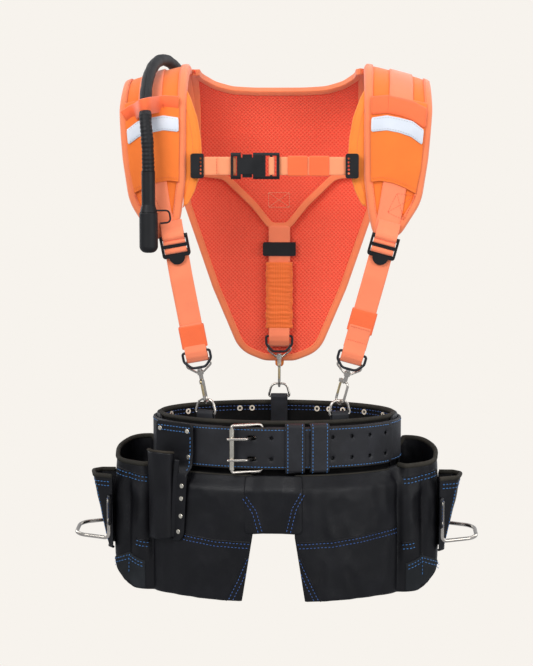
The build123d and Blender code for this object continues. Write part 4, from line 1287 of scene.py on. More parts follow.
chains = {
    "left": Chain(ring_top(-86.0), LOCK_LEFT),
    "right": Chain(ring_top(80.0), LOCK_RIGHT),
    "back": Chain((0.0, 81.4, 55.0), (0.0, 81.4, 155.0)),
}


def ribbon(name, axes, points, half, thick, body="root", step=1.2):
    """A webbing that runs along (v, w) points in a strap's frame, its width across the strap."""
    line = resample(rounded(points, 3.0, close=False, fine=0.6), step)
    path = axes.place(np.zeros(len(line)), line[:, 0], line[:, 1])
    normals = np.cross(axes.across, tangents(path, False))
    return sweep(name, path, normals, oval_section(half, thick / 2, 20, 8.0), "web", body=body)


def strap_sheet(chain, low, high, half, base, thick, bend=None):
    """A flat tape from v low to high, its outer face at base plus thick, bent by bend(v)."""
    def place(u, v, w):
        lift = 0.0 if bend is None else bend(np.asarray(v, float))
        return chain.place(u, v, w + lift)

    loop = np.array([(-half, low), (half, low), (half, high), (-half, high)])
    return Sheet([rounded(loop, 0.6)], place, domed(0.9, thick * 0.6, thick, base), level(base), step=3.4,
                 rings=(0.6,))


def strap_fold(name, chain, node):
    """The strap's end, folded round the D and the swivel eye and sewn back on itself."""
    route = [(66, 3.4), (46, 3.5), (38, 4.9), (31.5, 6.75), (25, 6.0), (18.6, 2.6), (17.0, 0.0), (18.4, -2.2),
             (24, -2.6), (33, -1.0), (40, 0.6)]
    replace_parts(ribbon(f"{name}_fold", chain, route, 13.4, 1.5), node)
    rows = []
    for v in (46.5, 63.5):
        line = np.array([(-12.0 + k * 2.0, v) for k in range(13)])
        rows.append((chain.place(line[:, 0], line[:, 1], np.full(13, 4.35)), np.tile(chain.out, (13, 1))))
    stitches(f"{name}_fold_stitch", rows, "orange_thread", length=2.2, gap=0.9, radius=0.3)


# each strap's elastic keeper: its lower edge along the strap and its thickness over the tape
KEEPER_AT = {"left": (36.0, 4.9), "right": (58.0, 3.4)}


def make_side_strap(name):
    chain = chains[name]
    top = chain.length - 4.0

    def bend(v):
        t = np.clip((v - (chain.length - 44)) / 34, 0, 1)
        return -5.6 * t * t * (3 - 2 * t) + 0.35 * np.sin(v * 0.045)

    strap = strap_sheet(chain, 36.0, top, 14.0, 0.7, 1.9, bend).build(f"side_strap_{name}", "web")
    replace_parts(strap, "side_straps")
    strap_fold(f"side_strap_{name}", chain, "side_straps")
    low, tall = KEEPER_AT[name]
    corners = rounded([(-15.3, -0.6), (15.3, -0.6), (15.3, tall), (-15.3, tall)], 1.3, fine=0.4)
    ring = resample(corners, 1.0, close=True)
    path = chain.place(ring[:, 0], np.full(len(ring), low + 14.0), ring[:, 1])
    normals = np.cross(tangents(path, True), chain.up)
    keeper = sweep(f"side_strap_keeper_{name}", path, normals, oval_section(14.0, 0.55, 16, 8.0), "elastic",
                   close=True)
    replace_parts(keeper, "side_strap_keepers")


def make_lock_webbing(name):
    """Tape through the ladder lock: one loop on its upper bar, and two folds in its windows."""
    lock = Axes(LOCK_LEFT if name == "left" else LOCK_RIGHT, chains[name].up)
    for label, low, high in (("upper", 2.9, 7.6), ("lower", -8.6, -1.3)):
        tall = high - low
        fold = [(high - 0.4, -2.6), (high - 0.3, 1.8), (low + tall * 0.55, 3.7), (low + 0.4, 2.0),
                (low + 0.5, -2.6)]
        ribbon(f"lock_{label}_fold_{name}", lock, fold, 13.6, 1.3, body=f"ladder_lock_{name}", step=0.8)
    wrap = [(30, -7.4), (22, -3.6), (15.5, 2.4), (11.8, 3.6), (8.3, 1.6), (8.2, -1.6), (11.8, -3.6), (16, -4.4),
            (24, -6.2), (30, -8.8)]
    ribbon(f"pad_webbing_loop_{name}", lock, wrap, 13.4, 1.3, step=0.8)


for side_name in ("left", "right"):
    make_side_strap(side_name)
    make_lock_webbing(side_name)


def make_back_strap():
    chain = chains["back"]
    strap = strap_sheet(chain, 36.0, 176.0, 14.0, 0.7, 1.7).build("back_strap_webbing", "web")
    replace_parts(strap, "back_strap")
    strap_fold("back_strap", chain, "back_strap")
    line = np.arange(41.0, 128.5, 1.1)
    path = chain.place(np.zeros(len(line)), line, np.full(len(line), 1.7))
    wobble = bumps(path, 9.0, 3.0)
    ridges = 0.42 * np.sin(line * 1.05 + 1.6 * wobble) + 0.5 * wobble
    verts, faces, ring = [], [], 44
    angle = np.linspace(0, 2 * math.pi, ring, endpoint=False)
    for k, v in enumerate(line):
        ends = min(1.0, (v - 40.0) / 5.0, (129.5 - v) / 5.0)
        wide = 17.6 + 0.5 * math.sin(v * 0.35) * ends + 0.4 * wobble[k]
        for q, a in enumerate(angle):
            c, s = math.cos(a), math.sin(a)
            u = math.copysign(abs(c) ** 0.35, c) * wide
            gather = ridges[k] * (0.6 + 0.4 * math.sin(u * 0.25 + v * 0.1))
            bulge = 3.0 + ends * (0.9 * math.cos(u / 16) + gather)
            fine = noise(Vector((u * 0.16, v * 0.45, 4.0 if s > 0 else 9.0)))
            w = math.copysign(abs(s) ** 0.5, s) * (bulge + 0.9 * fine * ends)
            verts.append(chain.at(u, v, 1.7 + w))
        if k:
            base = (k - 1) * ring
            faces += [(base + q, base + (q + 1) % ring, base + ring + (q + 1) % ring, base + ring + q)
                      for q in range(ring)]
    faces += [tuple(range(ring - 1, -1, -1)), tuple(range((len(line) - 1) * ring, len(line) * ring))]
    uvs = [(a * 10.0, v) for v in line for a in angle]
    sleeve = new_object("back_strap_ruched_sleeve", verts, faces, "sleeve", uvs)
    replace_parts(sleeve, "back_strap_sleeve")
    rows = []
    for u in (-14.8, 14.8):
        run = np.arange(44.0, 126.0, 2.0)
        here = chain.place(np.full(len(run), u), run, np.full(len(run), 6.1))
        rows.append((here, np.tile(chain.out, (len(run), 1))))
    stitches("sleeve_stitch", rows, "orange_thread", length=2.4, gap=1.2, radius=0.24)


make_back_strap()


# ================= chest strap =================
def chest_place(u, v, w):
    u, v, w = np.asarray(u, float), np.asarray(v, float), np.asarray(w, float)
    return np.stack([u, CHEST_Y - w, v], axis=1)


def chest_tape(name, x0, x1, half, low, high):
    """A length of chest webbing between two heights."""
    loop = [(x0, CHEST_Z - half), (x1, CHEST_Z - half), (x1, CHEST_Z + half), (x0, CHEST_Z + half)]

    def lift(u, v):
        return 0.12 * np.sin(u * 0.3 + v * 0.1)

    sheet = Sheet([rounded(loop, 0.6)], chest_place,
                  lambda u, v, d: crown(d, 0.8, high - 0.4, high) + lift(u, v),
                  lambda u, v, d: low + lift(u, v), step=3.0, rings=(0.5,))
    return sheet, sheet.build(name, "web_fine", body="chest_strap")


left_sheet, left_tape = chest_tape("chest_webbing_left", -87, -46.5, 11.0, -1.4, 1.4)
chest_tape("chest_webbing_left_fold", -69, -50.5, 10.8, 1.4, 2.4)
right_tape = chest_tape("chest_webbing_right", 4.5, 87, 11.0, -0.9, 0.9)[1]
for tape in (left_tape, right_tape):
    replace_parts(tape, "chest_webbing")
seam = np.array([(-70.5, z) for z in np.arange(CHEST_Z - 10.4, CHEST_Z + 10.5, 2.0)])
stitches("chest_stitch", [left_sheet.path(seam)], "orange_thread", length=2.2, gap=0.8, radius=0.32,
         body="chest_strap")
roll_line = np.array([(-3.6, CHEST_Y - 1.8, z) for z in np.linspace(CHEST_Z - 10.8, CHEST_Z + 10.8, 14)])
sweep("chest_webbing_roll", roll_line, np.tile([0.0, -1.0, 0.0], (14, 1)), oval_section(3.6, 2.3, 18, 2.6),
      "web_fine", body="chest_strap")
for label, x0 in (("inner", 16.0), ("outer", 42.0)):
    corners = rounded([(-11.9, -1.9), (11.9, -1.9), (11.9, 1.9), (-11.9, 1.9)], 1.0, fine=0.3)
    ring = resample(corners, 0.9, close=True)
    path = np.stack([np.full(len(ring), x0 + 12.0), CHEST_Y - ring[:, 1], CHEST_Z + ring[:, 0]], axis=1)
    normals = np.cross(tangents(path, True), [1.0, 0.0, 0.0])
    keeper_band = sweep(f"chest_keeper_{label}", path, normals, oval_section(12.0, 0.45, 16, 8.0), "elastic",
                        close=True, body="chest_keepers")
    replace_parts(keeper_band, "chest_keepers")


# ================= belt =================
class Oval:
    """Flat coordinates on an oval wall: u along it from the front's middle, v up, w outwards."""

    def __init__(self, a, b):
        self.t = np.linspace(-2.5 * math.pi, 1.5 * math.pi, 8001)
        x, y = a * np.cos(self.t), b * np.sin(self.t)
        run = np.concatenate([[0.0], np.cumsum(np.hypot(np.diff(x), np.diff(y)))])
        self.run = run - np.interp(-math.pi / 2, self.t, run)
        self.a, self.b = a, b
        self.round = self.run[-1] - np.interp(-math.pi / 2, self.t, self.run)

    def u_at(self, x, rear=False):
        """Distance along the wall to a given x, in front or behind."""
        angle = math.acos(max(-1.0, min(1.0, x / self.a)))
        return float(np.interp(angle if rear else -angle, self.t, self.run))

    def place(self, u, v, w):
        u, v, w = np.asarray(u, float), np.asarray(v, float), np.asarray(w, float)
        t = np.interp(u, self.run, self.t)
        c, s = np.cos(t), np.sin(t)
        long = np.hypot(self.b * c, self.a * s)
        return np.stack([self.a * c + w * self.b * c / long, self.b * s + w * self.a * s / long, v], axis=1)


tail_wall, strap_wall, liner_wall = Oval(TAIL_A, TAIL_B), Oval(STRAP_A, STRAP_B), Oval(LINER_A, LINER_B)
HOLE_PITCH, HOLE_R, HOLE_FIRST, HOLE_PAIRS = 25.4, 2.6, -3.0, 7


def circle(x, y, radius):
    angle = np.linspace(0, 2 * math.pi, 18, endpoint=False)
    return np.stack([x + radius * np.cos(angle), y + radius * np.sin(angle)], axis=1)


def belt_layer(name, node, wall, start, end, corners, holes, step, sewn):
    """A layer of belt leather between two distances along a wall, with a blue row near each edge."""
    outline = [(start, -BELT_HALF), (end, -BELT_HALF), (end, BELT_HALF), (start, BELT_HALF)]
    sheet = Sheet([rounded(outline, corners)] + holes, wall.place, domed(1.3, 0.7, 2.0, -2.0),
                  hollowed(1.0, 0.8, 1.95, -2.0), step=step, rings=(0.5, 1.3))
    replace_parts(sheet.build(name, "belt"), node)
    rows = [sheet.path([(u, side * (BELT_HALF - 3.0)) for u in np.arange(*sewn, 2.0)]) for side in (-1, 1)]
    stitches(f"{node}_stitch", rows, "blue", length=2.9, gap=1.3, radius=0.42)
    return sheet


def make_belt_tail():
    """The belt's free end, with punched pairs of holes and the two slots that the prongs sit in."""
    low, high = tail_wall.u_at(-112.0), tail_wall.u_at(147.0)
    holes = [circle(HOLE_FIRST + HOLE_PITCH * k, z, HOLE_R) for k in range(HOLE_PAIRS)
             for z in (-PRONG_Z, PRONG_Z)]
    holes += [rounded([(-33.5, z - 2.6), (-21.5, z - 2.6), (-21.5, z + 2.6), (-33.5, z + 2.6)], 2.5)
              for z in (-PRONG_Z, PRONG_Z)]
    sheet = belt_layer("belt_tail_strap", "belt_tail", tail_wall, low, high, [1, 9, 9, 1], holes, 4.0,
                       (low + 4, high - 8))
    for label, side in (("low", -1), ("high", 1)):
        line = [(u, side * (BELT_HALF - 1.6)) for u in np.arange(low + 2, high - 8, 2.5)]
        here, normals = sheet.path(line, -0.28)
        sweep(f"belt_tail_bevel_{label}", here, normals, oval_section(0.7, 0.35, 8), "raw_edge")


def make_belt_strap():
    start, end = strap_wall.u_at(-10.3), strap_wall.round + strap_wall.u_at(-64.0)
    belt_layer("belt_strap_leather", "belt_strap", strap_wall, start, end, 1.0, [], 4.6, (start + 130, end - 40))


make_belt_tail()
make_belt_strap()


def make_liner():
    """Soft inner band, its top edge bound, with a padded part behind the wearer."""
    path_u = np.linspace(0, liner_wall.round, 240, endpoint=False)

    def round_at(v, w):
        """The whole way round the liner at one height and depth."""
        return liner_wall.place(path_u, np.full(240, v), np.full(240, w))

    path = round_at(-6.5, -2.0)
    outward = round_at(-6.5, -1.0) - path
    wave = 0.35 * np.sin(path_u * 0.05) + 0.25 * np.sin(path_u * 0.13 + 1)
    path = path + outward * wave[:, None] * 0.5
    lining = sweep("belt_liner_band", path, outward, oval_section(37.4, 1.85, 36, 7.0), "bag_inside", close=True)
    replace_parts(lining, "belt_liner")
    sweep("belt_liner_top_roll", round_at(29.8, -2.0), outward, oval_section(2.9, 3.1, 16), "roll", close=True)
    rows = []
    for v in (25.0, 20.0):
        here = round_at(v, -3.9) + outward * wave[:, None] * 0.5
        rows.append((np.vstack([here, here[:1]]), -np.vstack([outward, outward[:1]])))
    stitches("belt_liner_stitch", rows, "blue_shaded", length=3.2, gap=1.6, radius=0.4)
    pad_wall = Oval(153.8, 92.8)
    half = pad_wall.round / 2
    reach = half - pad_wall.u_at(pad_wall.a * math.sqrt(1 - (30 / pad_wall.b) ** 2))
    start, end = half - reach, half + reach
    loop = rounded([(start, -43.5), (end, -43.5), (end, 30.5), (start, 30.5)], 8)
    sheet = Sheet([loop], pad_wall.place, domed(9.0, 0.1, 1.1, -1.2), level(-3.7), step=5.0, rings=(1.2,))
    padding = sheet.build("belt_liner_padding", "bag")
    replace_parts(padding, "belt_liner")


make_liner()


def make_keeper(name, x):
    """Leather keeper: a band round both belt layers, with thread along both edges."""
    u = tail_wall.u_at(x)
    corners = rounded([(-28.9, -10.2), (28.9, -10.2), (28.9, 2.0), (-28.9, 2.0)], 2.6, fine=0.4)
    ring = resample(corners, 1.0, close=True)
    base = tail_wall.place([u], [0.0], [0.0])[0]
    out = tail_wall.place([u], [0.0], [1.0])[0] - base
    across = np.cross(out, UP)
    across = -across / np.linalg.norm(across)
    path = base + UP * ring[:, 0:1] + out * ring[:, 1:2]
    normals = np.cross(tangents(path, True), across)
    centre = path.mean(axis=0)
    if ((path - centre) * normals).sum() < 0:
        normals = -normals
    node = f"belt_keeper_{name}"
    leather_band = sweep(f"{node}_band", path, normals, oval_section(11.9, 1.3, 24, 6.0), "belt", close=True,
                         body=node)
    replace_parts(leather_band, node)
    keep = ring[:, 1] > -3.0
    order = np.argsort(ring[keep][:, 0])
    face = path[keep][order]
    face_normals = normals[keep][order]
    rows = [(face + across * shift + face_normals * 1.25, face_normals) for shift in (-9.0, 9.0)]
    stitches(f"{node}_stitch", rows, "blue", body=node, length=2.9, gap=1.3, radius=0.42)


make_keeper("inner", 26.0)
make_keeper("outer", 56.0)


# ---- leather tabs that hold the D-rings ----
def make_ring_tab(name, x, rear):
    y = RING_B * math.sqrt(1 - (x / RING_A) ** 2) * (1 if rear else -1)
    slope = math.atan2(-x / RING_A ** 2, y / RING_B ** 2)
    across = np.array([math.cos(slope), math.sin(slope), 0.0]) * (1 if rear else -1)
    out = np.cross(across, UP)
    base = np.array([x, y, 0.0])
    points = [(5, 2.2), (20, 2.7), (33, 2.9), (38, 3.35), (41.1, 1.6), (41.4, 0.0), (41.1, -1.6), (38, -3.35),
              (33, -2.9), (20, -2.4), (5, -1.8)]
    line = resample(rounded(points, 2.0, close=False, fine=0.4), 0.9)
    path = base + UP * line[:, 0:1] + out * line[:, 1:2]
    normals = np.cross(across, tangents(path, False))
    tab = sweep(f"{name}_tab", path, normals, oval_section(11.0, 0.8, 20, 6.0), "belt")
    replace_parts(tab, "d_ring_tabs")


for tab_name, tab_x, tab_rear in (("d_ring_left", -86.0, False), ("d_ring_right", 80.0, False),
                                  ("d_ring_back", 0.0, True)):
    make_ring_tab(tab_name, tab_x, tab_rear)


# ================= leather bags =================
BAG_A, BAG_B = 176.0, 115.0
INNER_A, INNER_B = 154.1, 93.1
BAG_IN_X, BAG_LOW, SKIRT_TOP = 26.0, -190.0, -32.8
MOUTH_Y, MOUTH_Z, MOUTH_MAX = -57.0, -28.0, -4.0
MOUTH_SLOPE = math.tan(math.radians(13.0))
POUCH = [(152.0, -57.7), (166.0, -57.0), (200.0, -46.0), (204.5, 0.0), (186.0, 34.0), (146.0, 34.0)]


def oval_side(a, b, x0, end):
    """Points of an oval's front, from x0 round to the angle where it reaches the end point."""
    first = -math.acos(x0 / a)
    last = math.atan2(end[1] / b, end[0] / a)
    angle = np.linspace(first, last, 260)
    return np.stack([a * np.cos(angle), b * np.sin(angle)], axis=1)


class Wall:
    """Flat coordinates on a bag's upright wall: u along its plan line, v up, w outwards."""

    def __init__(self, plan, step=1.0):
        self.line = resample(plan, step)
        self.run = run_along(self.line)
        tangent = unit_rows(np.gradient(self.line, axis=0))
        self.normal = np.stack([tangent[:, 1], -tangent[:, 0]], axis=1)
        self.long = self.run[-1]

    def read(self, u, table):
        """A two-column table given along the wall, read at distances u."""
        u = np.clip(u, 0.0, self.long)
        return np.stack([np.interp(u, self.run, table[:, k]) for k in (0, 1)], axis=1)

    def xy(self, u):
        return self.read(u, self.line)

    def place(self, u, v, w):
        u, v, w = (np.asarray(k, float) for k in (u, v, w))
        out = unit_rows(self.read(u, self.normal))
        return np.concatenate([self.xy(u) + out * w[:, None], v[:, None]], axis=1)

    def u_at(self, x):
        """First distance along the wall at which it reaches a given x."""
        past = np.nonzero(self.line[:, 0] >= x)[0]
        return float(self.run[past[0]]) if len(past) else self.long


skirt_line = oval_side(BAG_A, BAG_B, BAG_IN_X, (150.0, -60.2))
pouch_line = rounded(POUCH, [12, 14, 30, 58, 28, 1], close=False)
outer_wall = Wall(np.vstack([skirt_line, pouch_line]))
inner_wall = Wall(oval_side(INNER_A, INNER_B, BAG_IN_X, (146.0, 34.0)))


def mouth_height(wall, u):
    """Height of the bag's mouth: level under the belt, then rising towards the back."""
    spot = wall.xy(np.atleast_1d(u))
    rise = np.minimum(MOUTH_MAX, MOUTH_Z + (spot[:, 1] - MOUTH_Y) * MOUTH_SLOPE)
    return np.where(spot[:, 0] < 153.0, np.minimum(SKIRT_TOP, rise + 60.0), rise)


def floor_height(wall, u):
    """Lower edge: level, then rounded up towards the outer corner."""
    spot = wall.xy(np.atleast_1d(u))
    t = np.clip((spot[:, 0] - 172.0) / 32.5, 0, 1)
    corner = 30.0 * t ** 2.2
    start = np.clip((44.0 - spot[:, 0]) / 12.0, 0, 1)
    return BAG_LOW + 1.5 + corner + 9.0 * start ** 3


def sag(x, y, z):
    """Gentle folds of soft leather, deeper near the floor and over the hip."""
    total = np.zeros(len(x))
    for k in range(len(x)):
        broad = noise(Vector((x[k] * 0.016, y[k] * 0.016, z[k] * 0.012 + 3.0)))
        crease = noise(Vector((x[k] * 0.05 + 9.0, y[k] * 0.05, z[k] * 0.020)))
        fine = noise(Vector((x[k] * 0.13, y[k] * 0.13 + 5.0, z[k] * 0.10)))
        total[k] = 2.3 * broad + 1.1 * (1.0 - abs(crease) * 2.6) + 0.35 * fine
    return total


# vertical folds of the outer wall: where they are in the front view, how wide and how deep
PLEATS = [(153.0, 4.0, -4.4), (168.0, 8.0, 3.0), (184.0, 3.6, -5.2), (197.0, 7.0, 2.6)]


def wall_depth(wall, inwards):
    """How far a wall stands out from its plan line, with folds and the top tucked under the belt."""
    def depth(u, v):
        here = wall.place(u, v, np.zeros(len(u)))
        fade = np.clip((mouth_height(wall, u) - v) / 30.0, 0.15, 1.0)
        soft = sag(here[:, 0], here[:, 1], here[:, 2]) * fade * (0.35 if inwards else 1.0)
        if inwards:
            return soft
        hang = np.clip((mouth_height(wall, u) - v) / 40.0, 0.1, 1.0)
        hang = hang * np.clip((v - BAG_LOW) / 50.0, 0.25, 1.0)
        pleats = np.zeros(len(u))
        for x, wide, high in PLEATS:
            pleats += high * np.exp(-((u - wall.u_at(x)) / wide) ** 2)
        slump = 2.0 * np.sin(np.clip((v - BAG_LOW) / 150.0, 0, 1) * math.pi)
        tuck = np.clip((v + 52.0) / 22.0, 0, 1) * np.clip((165.0 - here[:, 0]) / 14.0, 0, 1)
        return soft + pleats * hang + slump - 11.5 * tuck * tuck * (3 - 2 * tuck)
    return depth


def bag_loop(wall):
    """Flat outline of one wall: straight top, slanted inner edge and rounded lower corner."""
    long = wall.long
    start = wall.u_at(38.0)
    top = [(u, float(mouth_height(wall, u)[0])) for u in np.arange(long, 0.0, -3.0)]
    low = [(u, float(floor_height(wall, u)[0])) for u in np.arange(start, long, 3.0)]
    inner = [(0.0, SKIRT_TOP), (0.0, -107.0)]
    return np.array(inner + low + [(long, float(floor_height(wall, long)[0]))] + top)


outer_depth, inner_depth = wall_depth(outer_wall, False), wall_depth(inner_wall, True)


def make_bag_walls():
    outer_sheet = Sheet([bag_loop(outer_wall)], outer_wall.place,
                        lambda u, v, d: outer_depth(u, v) - 0.6 + crown(d, 2.6, -1.0, 0.6),
                        lambda u, v, d: outer_depth(u, v) - 2.6, step=3.4, rings=(0.8, 2.2))
    inner_sheet = Sheet([bag_loop(inner_wall)], inner_wall.place,
                        lambda u, v, d: inner_depth(u, v) + 3.1, level(0.4), step=6.0, rings=(1.0,))
    outer = outer_sheet.build("bag_right_front", "bag")
    inner = inner_sheet.build("bag_right_inner", "bag_inside")
    return outer_sheet, [outer, inner]


def edge_line(wall, depth, count):
    """The border shared by the gusset: down the inner edge, along the floor, to the back corner."""
    start = wall.u_at(38.0)
    route = [(0.0, SKIRT_TOP), (0.0, -107.0), (start, float(floor_height(wall, start)[0]))]
    route += [(u, float(floor_height(wall, u)[0])) for u in np.arange(start + 3, wall.long, 3.0)]
    flat = np.vstack([resample(route[:3], 2.0), resample(route[2:], 2.0)[1:]])
    split = len(resample(route[:3], 2.0))
    edge_run = np.linspace(0, split - 1, count // 3)
    floor_run = np.linspace(split - 1, len(flat) - 1, count - count // 3)[1:]
    at = np.concatenate([edge_run, floor_run])
    flat = np.stack([np.interp(at, np.arange(len(flat)), flat[:, k]) for k in (0, 1)], axis=1)
    return wall.place(flat[:, 0], flat[:, 1], depth(flat[:, 0], flat[:, 1]) - 1.4)


def make_gusset():
    """Soft strip that joins the two walls, folded inwards along its middle."""
    across = 11
    outer = edge_line(outer_wall, outer_depth, 210)
    inner = edge_line(inner_wall, lambda u, v: np.full(len(u), 1.6), 210)
    count = len(outer)
    middle = (outer + inner) / 2
    span = inner - outer
    inside_dir = unit_rows(np.cross(unit_rows(np.gradient(middle, axis=0)), span))
    centre = np.array([120.0, -70.0, -100.0])
    facing = ((centre - middle) * inside_dir).sum(axis=1, keepdims=True)
    inside_dir = np.where(facing < 0, -inside_dir, inside_dir)
    rows = []
    for k, t in enumerate(np.linspace(0, 1, across)):
        depth = np.minimum(5.0, np.linalg.norm(span, axis=1) * 0.3) * math.sin(math.pi * t)
        row = outer + span * t + inside_dir * depth[:, None]
        rows.append(row + inside_dir * 0.5 * noise(Vector((t * 5.0, 2.0, 1.0))))
    thick = inside_dir * 2.0
    verts = np.vstack(rows + [row + thick for row in rows])
    faces, shell = [], count * across
    for m in range(across - 1):
        for k in range(count - 1):
            a, b, c, d = m * count + k, m * count + k + 1, (m + 1) * count + k + 1, (m + 1) * count + k
            faces += [(a, b, c, d), (a + shell, d + shell, c + shell, b + shell)]
    for k in range(count - 1):
        low, high = k, (across - 1) * count + k
        faces += [(low + 1, low, low + shell, low + 1 + shell),
                  (high, high + 1, high + 1 + shell, high + shell)]
    for m in range(across - 1):
        first, last = m * count, m * count + count - 1
        faces += [(first, first + count, first + count + shell, first + shell),
                  (last + count, last, last + shell, last + count + shell)]
    uvs = [(m * 2.0, k * 2.0) for _ in range(2) for m in range(across) for k in range(count)]
    return new_object("bag_right_gusset", verts, faces, "bag", uvs)


def make_rim():
    """Thick rolled edge round the mouth of the pouch."""
    start, end = outer_wall.u_at(154.0), outer_wall.long
    u = np.arange(start, end - 1.0, 2.0)
    heights = mouth_height(outer_wall, u)
    soft = np.convolve(np.pad(heights, 4, mode="edge"), np.ones(9) / 9, mode="valid")
    path = outer_wall.place(u, soft - 0.4, outer_depth(u, soft) - 1.3)
    out = outer_wall.place(u, soft - 0.4, outer_depth(u, soft) - 0.3) - path
    roll = sweep("bag_right_rim", path, out, oval_section(3.1, 2.9, 16), "roll")
    skirt_u = np.arange(1.5, start - 3.0, 3.0)
    skirt_v = np.full(len(skirt_u), SKIRT_TOP - 0.6)
    path = outer_wall.place(skirt_u, skirt_v, outer_depth(skirt_u, skirt_v) - 1.2)
    out = outer_wall.place(skirt_u, skirt_v, outer_depth(skirt_u, skirt_v) - 0.2) - path
    skirt_roll = sweep("bag_right_skirt_edge", path, out, oval_section(1.2, 1.2, 10), "roll")
    return [roll, skirt_roll]


def u_of_x(xs):
    """Distances along the outer wall for a run of front-view x positions."""
    keep = outer_wall.run[np.argmax(outer_wall.line[:, 0])]
    inside_run = outer_wall.run <= keep
    return np.interp(xs, outer_wall.line[inside_run, 0], outer_wall.run[inside_run])


def seam_row(sheet, points, lift=0.0):
    """A stitch line given by its corners in the front view, laid on the outer wall."""
    points = resample(rounded(points, 14.0, close=False), 2.0)
    flat = np.stack([u_of_x(points[:, 0]), points[:, 1]], axis=1)
    flat = flat[sheet.has(flat)]
    return sheet.path(flat, lift)


def shifted(points, distance):
    """The same line moved sideways, for the second row of a double seam."""
    points = np.asarray(points, float)
    tangent = unit_rows(np.gradient(points, axis=0))
    return points + np.stack([-tangent[:, 1], tangent[:, 0]], axis=1) * distance


# Seams sewn in the shaded copy of the blue thread, its darker blue painted as shade.
SHADED_SEAMS = [
    [(28, -116), (70, -115.5), (110, -111), (150, -106)],
    [(31, -134), (44, -164), (58, -193)],
]
# Seams sewn in the lit blue thread.
LIT_SEAMS = [
    [(159, -45), (170, -44), (186, -41), (199, -38)],
    [(158, -128), (173, -125)],
]


def make_bag_trim(sheet):
    """Double blue seams, a raised edge along each seam, and the corner patch of suede. The dark seams use the shaded
    copy of the blue thread, a darker blue painted as shade, and the bright seams use the lit blue.
    """
    made = []
    # The dark label marks the thread with painted shade, and the bright label marks the lit thread.
    for label, seams, thread in (("dark", SHADED_SEAMS, "blue_shaded"), ("bright", LIT_SEAMS, "blue")):
        rows = []
        for k, seam in enumerate(seams):
            rows += [seam_row(sheet, seam), seam_row(sheet, shifted(seam, -5.0))]
            path, normals = seam_row(sheet, shifted(seam, 2.4), -0.5)
            ridge = oval_section(1.0, 1.15, 10)
            made.append(sweep(f"bag_right_ridge_{label}_{k}", path, normals, ridge, "bag"))
        made.append(stitches(f"bag_right_stitch_{label}", rows, thread, length=2.7, gap=1.9, radius=0.46))
    u0, u1 = outer_wall.u_at(163.0), outer_wall.u_at(203.0) + 4.0
    middle = outer_wall.u_at(184.0)
    steps = np.arange(u0, u1 + 0.1, 2.0)
    peak = -142.0 - 9.0 * np.abs(steps - middle) / (middle - u0)
    base = np.array([float(floor_height(outer_wall, u)[0]) + 1.2 for u in steps])
    notch = 5.0 * np.clip(1 - np.abs(steps - middle) / 5.0, 0, 1)
    patch_loop = np.vstack([np.stack([steps, base + notch], axis=1), np.stack([steps, peak], axis=1)[::-1]])
    patch = Sheet([patch_loop], outer_wall.place,
                  lambda u, v, d: outer_depth(u, v) + 0.3 + crown(d, 2.4, 0.1, 1.8),
                  lambda u, v, d: outer_depth(u, v) - 1.2, step=2.8, rings=(0.7, 1.8))
    made.append(patch.build("bag_right_corner_patch", "suede"))
    rows = [patch.path(np.stack([steps[1:-1], peak[1:-1] - drop], axis=1)) for drop in (3.2, 8.0)]
    rows.append(patch.path(resample([(middle, -144.0), (middle, -168.0)], 2.0)))
    made.append(stitches("bag_right_patch_stitch", rows, "blue", length=2.6, gap=1.7, radius=0.42))
    return made


bag_sheet, bag_pieces = make_bag_walls()
bag_pieces += [make_gusset(), *make_rim(), *make_bag_trim(bag_sheet)]
for piece in bag_pieces:
    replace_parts(piece, "bag_right")
    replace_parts(mirrored(piece), "bag_left")


# ---- centre apron ----
def make_apron():
    wall = Oval(BAG_A, BAG_B)
    loop = rounded([(-36.0, -33.0), (-35.0, -103.0), (35.0, -103.0), (36.0, -33.0)], [1, 5, 5, 1])

    def lift(u, v):
        here = wall.place(u, v, np.zeros(len(u)))
        soft = 0.7 * sag(here[:, 0] + 300.0, here[:, 1], here[:, 2]) * np.clip((-30.0 - v) / 25.0, 0, 1)
        tuck = np.clip((v + 52.0) / 22.0, 0, 1)
        over = 4.2 * np.clip((np.abs(u) - 12.0) / 14.0, 0, 1)
        return soft + over - 11.5 * tuck * tuck * (3 - 2 * tuck)

    sheet = Sheet([loop], wall.place, lambda u, v, d: lift(u, v) - 0.6 + crown(d, 2.0, -0.6, 0.6),
                  lambda u, v, d: lift(u, v) - 3.0, step=3.4, rings=(0.8, 2.0))
    apron = sheet.build("apron_panel", "bag")
    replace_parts(apron, "centre_apron")
    rows = []
    for curve, apart in (([(-33.5, -56.0), (-21.0, -74.0), (-13.5, -101.0)], -4.8),
                         ([(33.5, -51.0), (23.0, -70.0), (16.0, -101.0)], 4.8)):
        rows += [sheet.path(resample(rounded(line, 22.0, close=False), 2.0))
                 for line in (curve, shifted(curve, apart))]
    stitches("apron_stitch", rows, "blue_shaded", length=2.7, gap=1.9, radius=0.46)


make_apron()


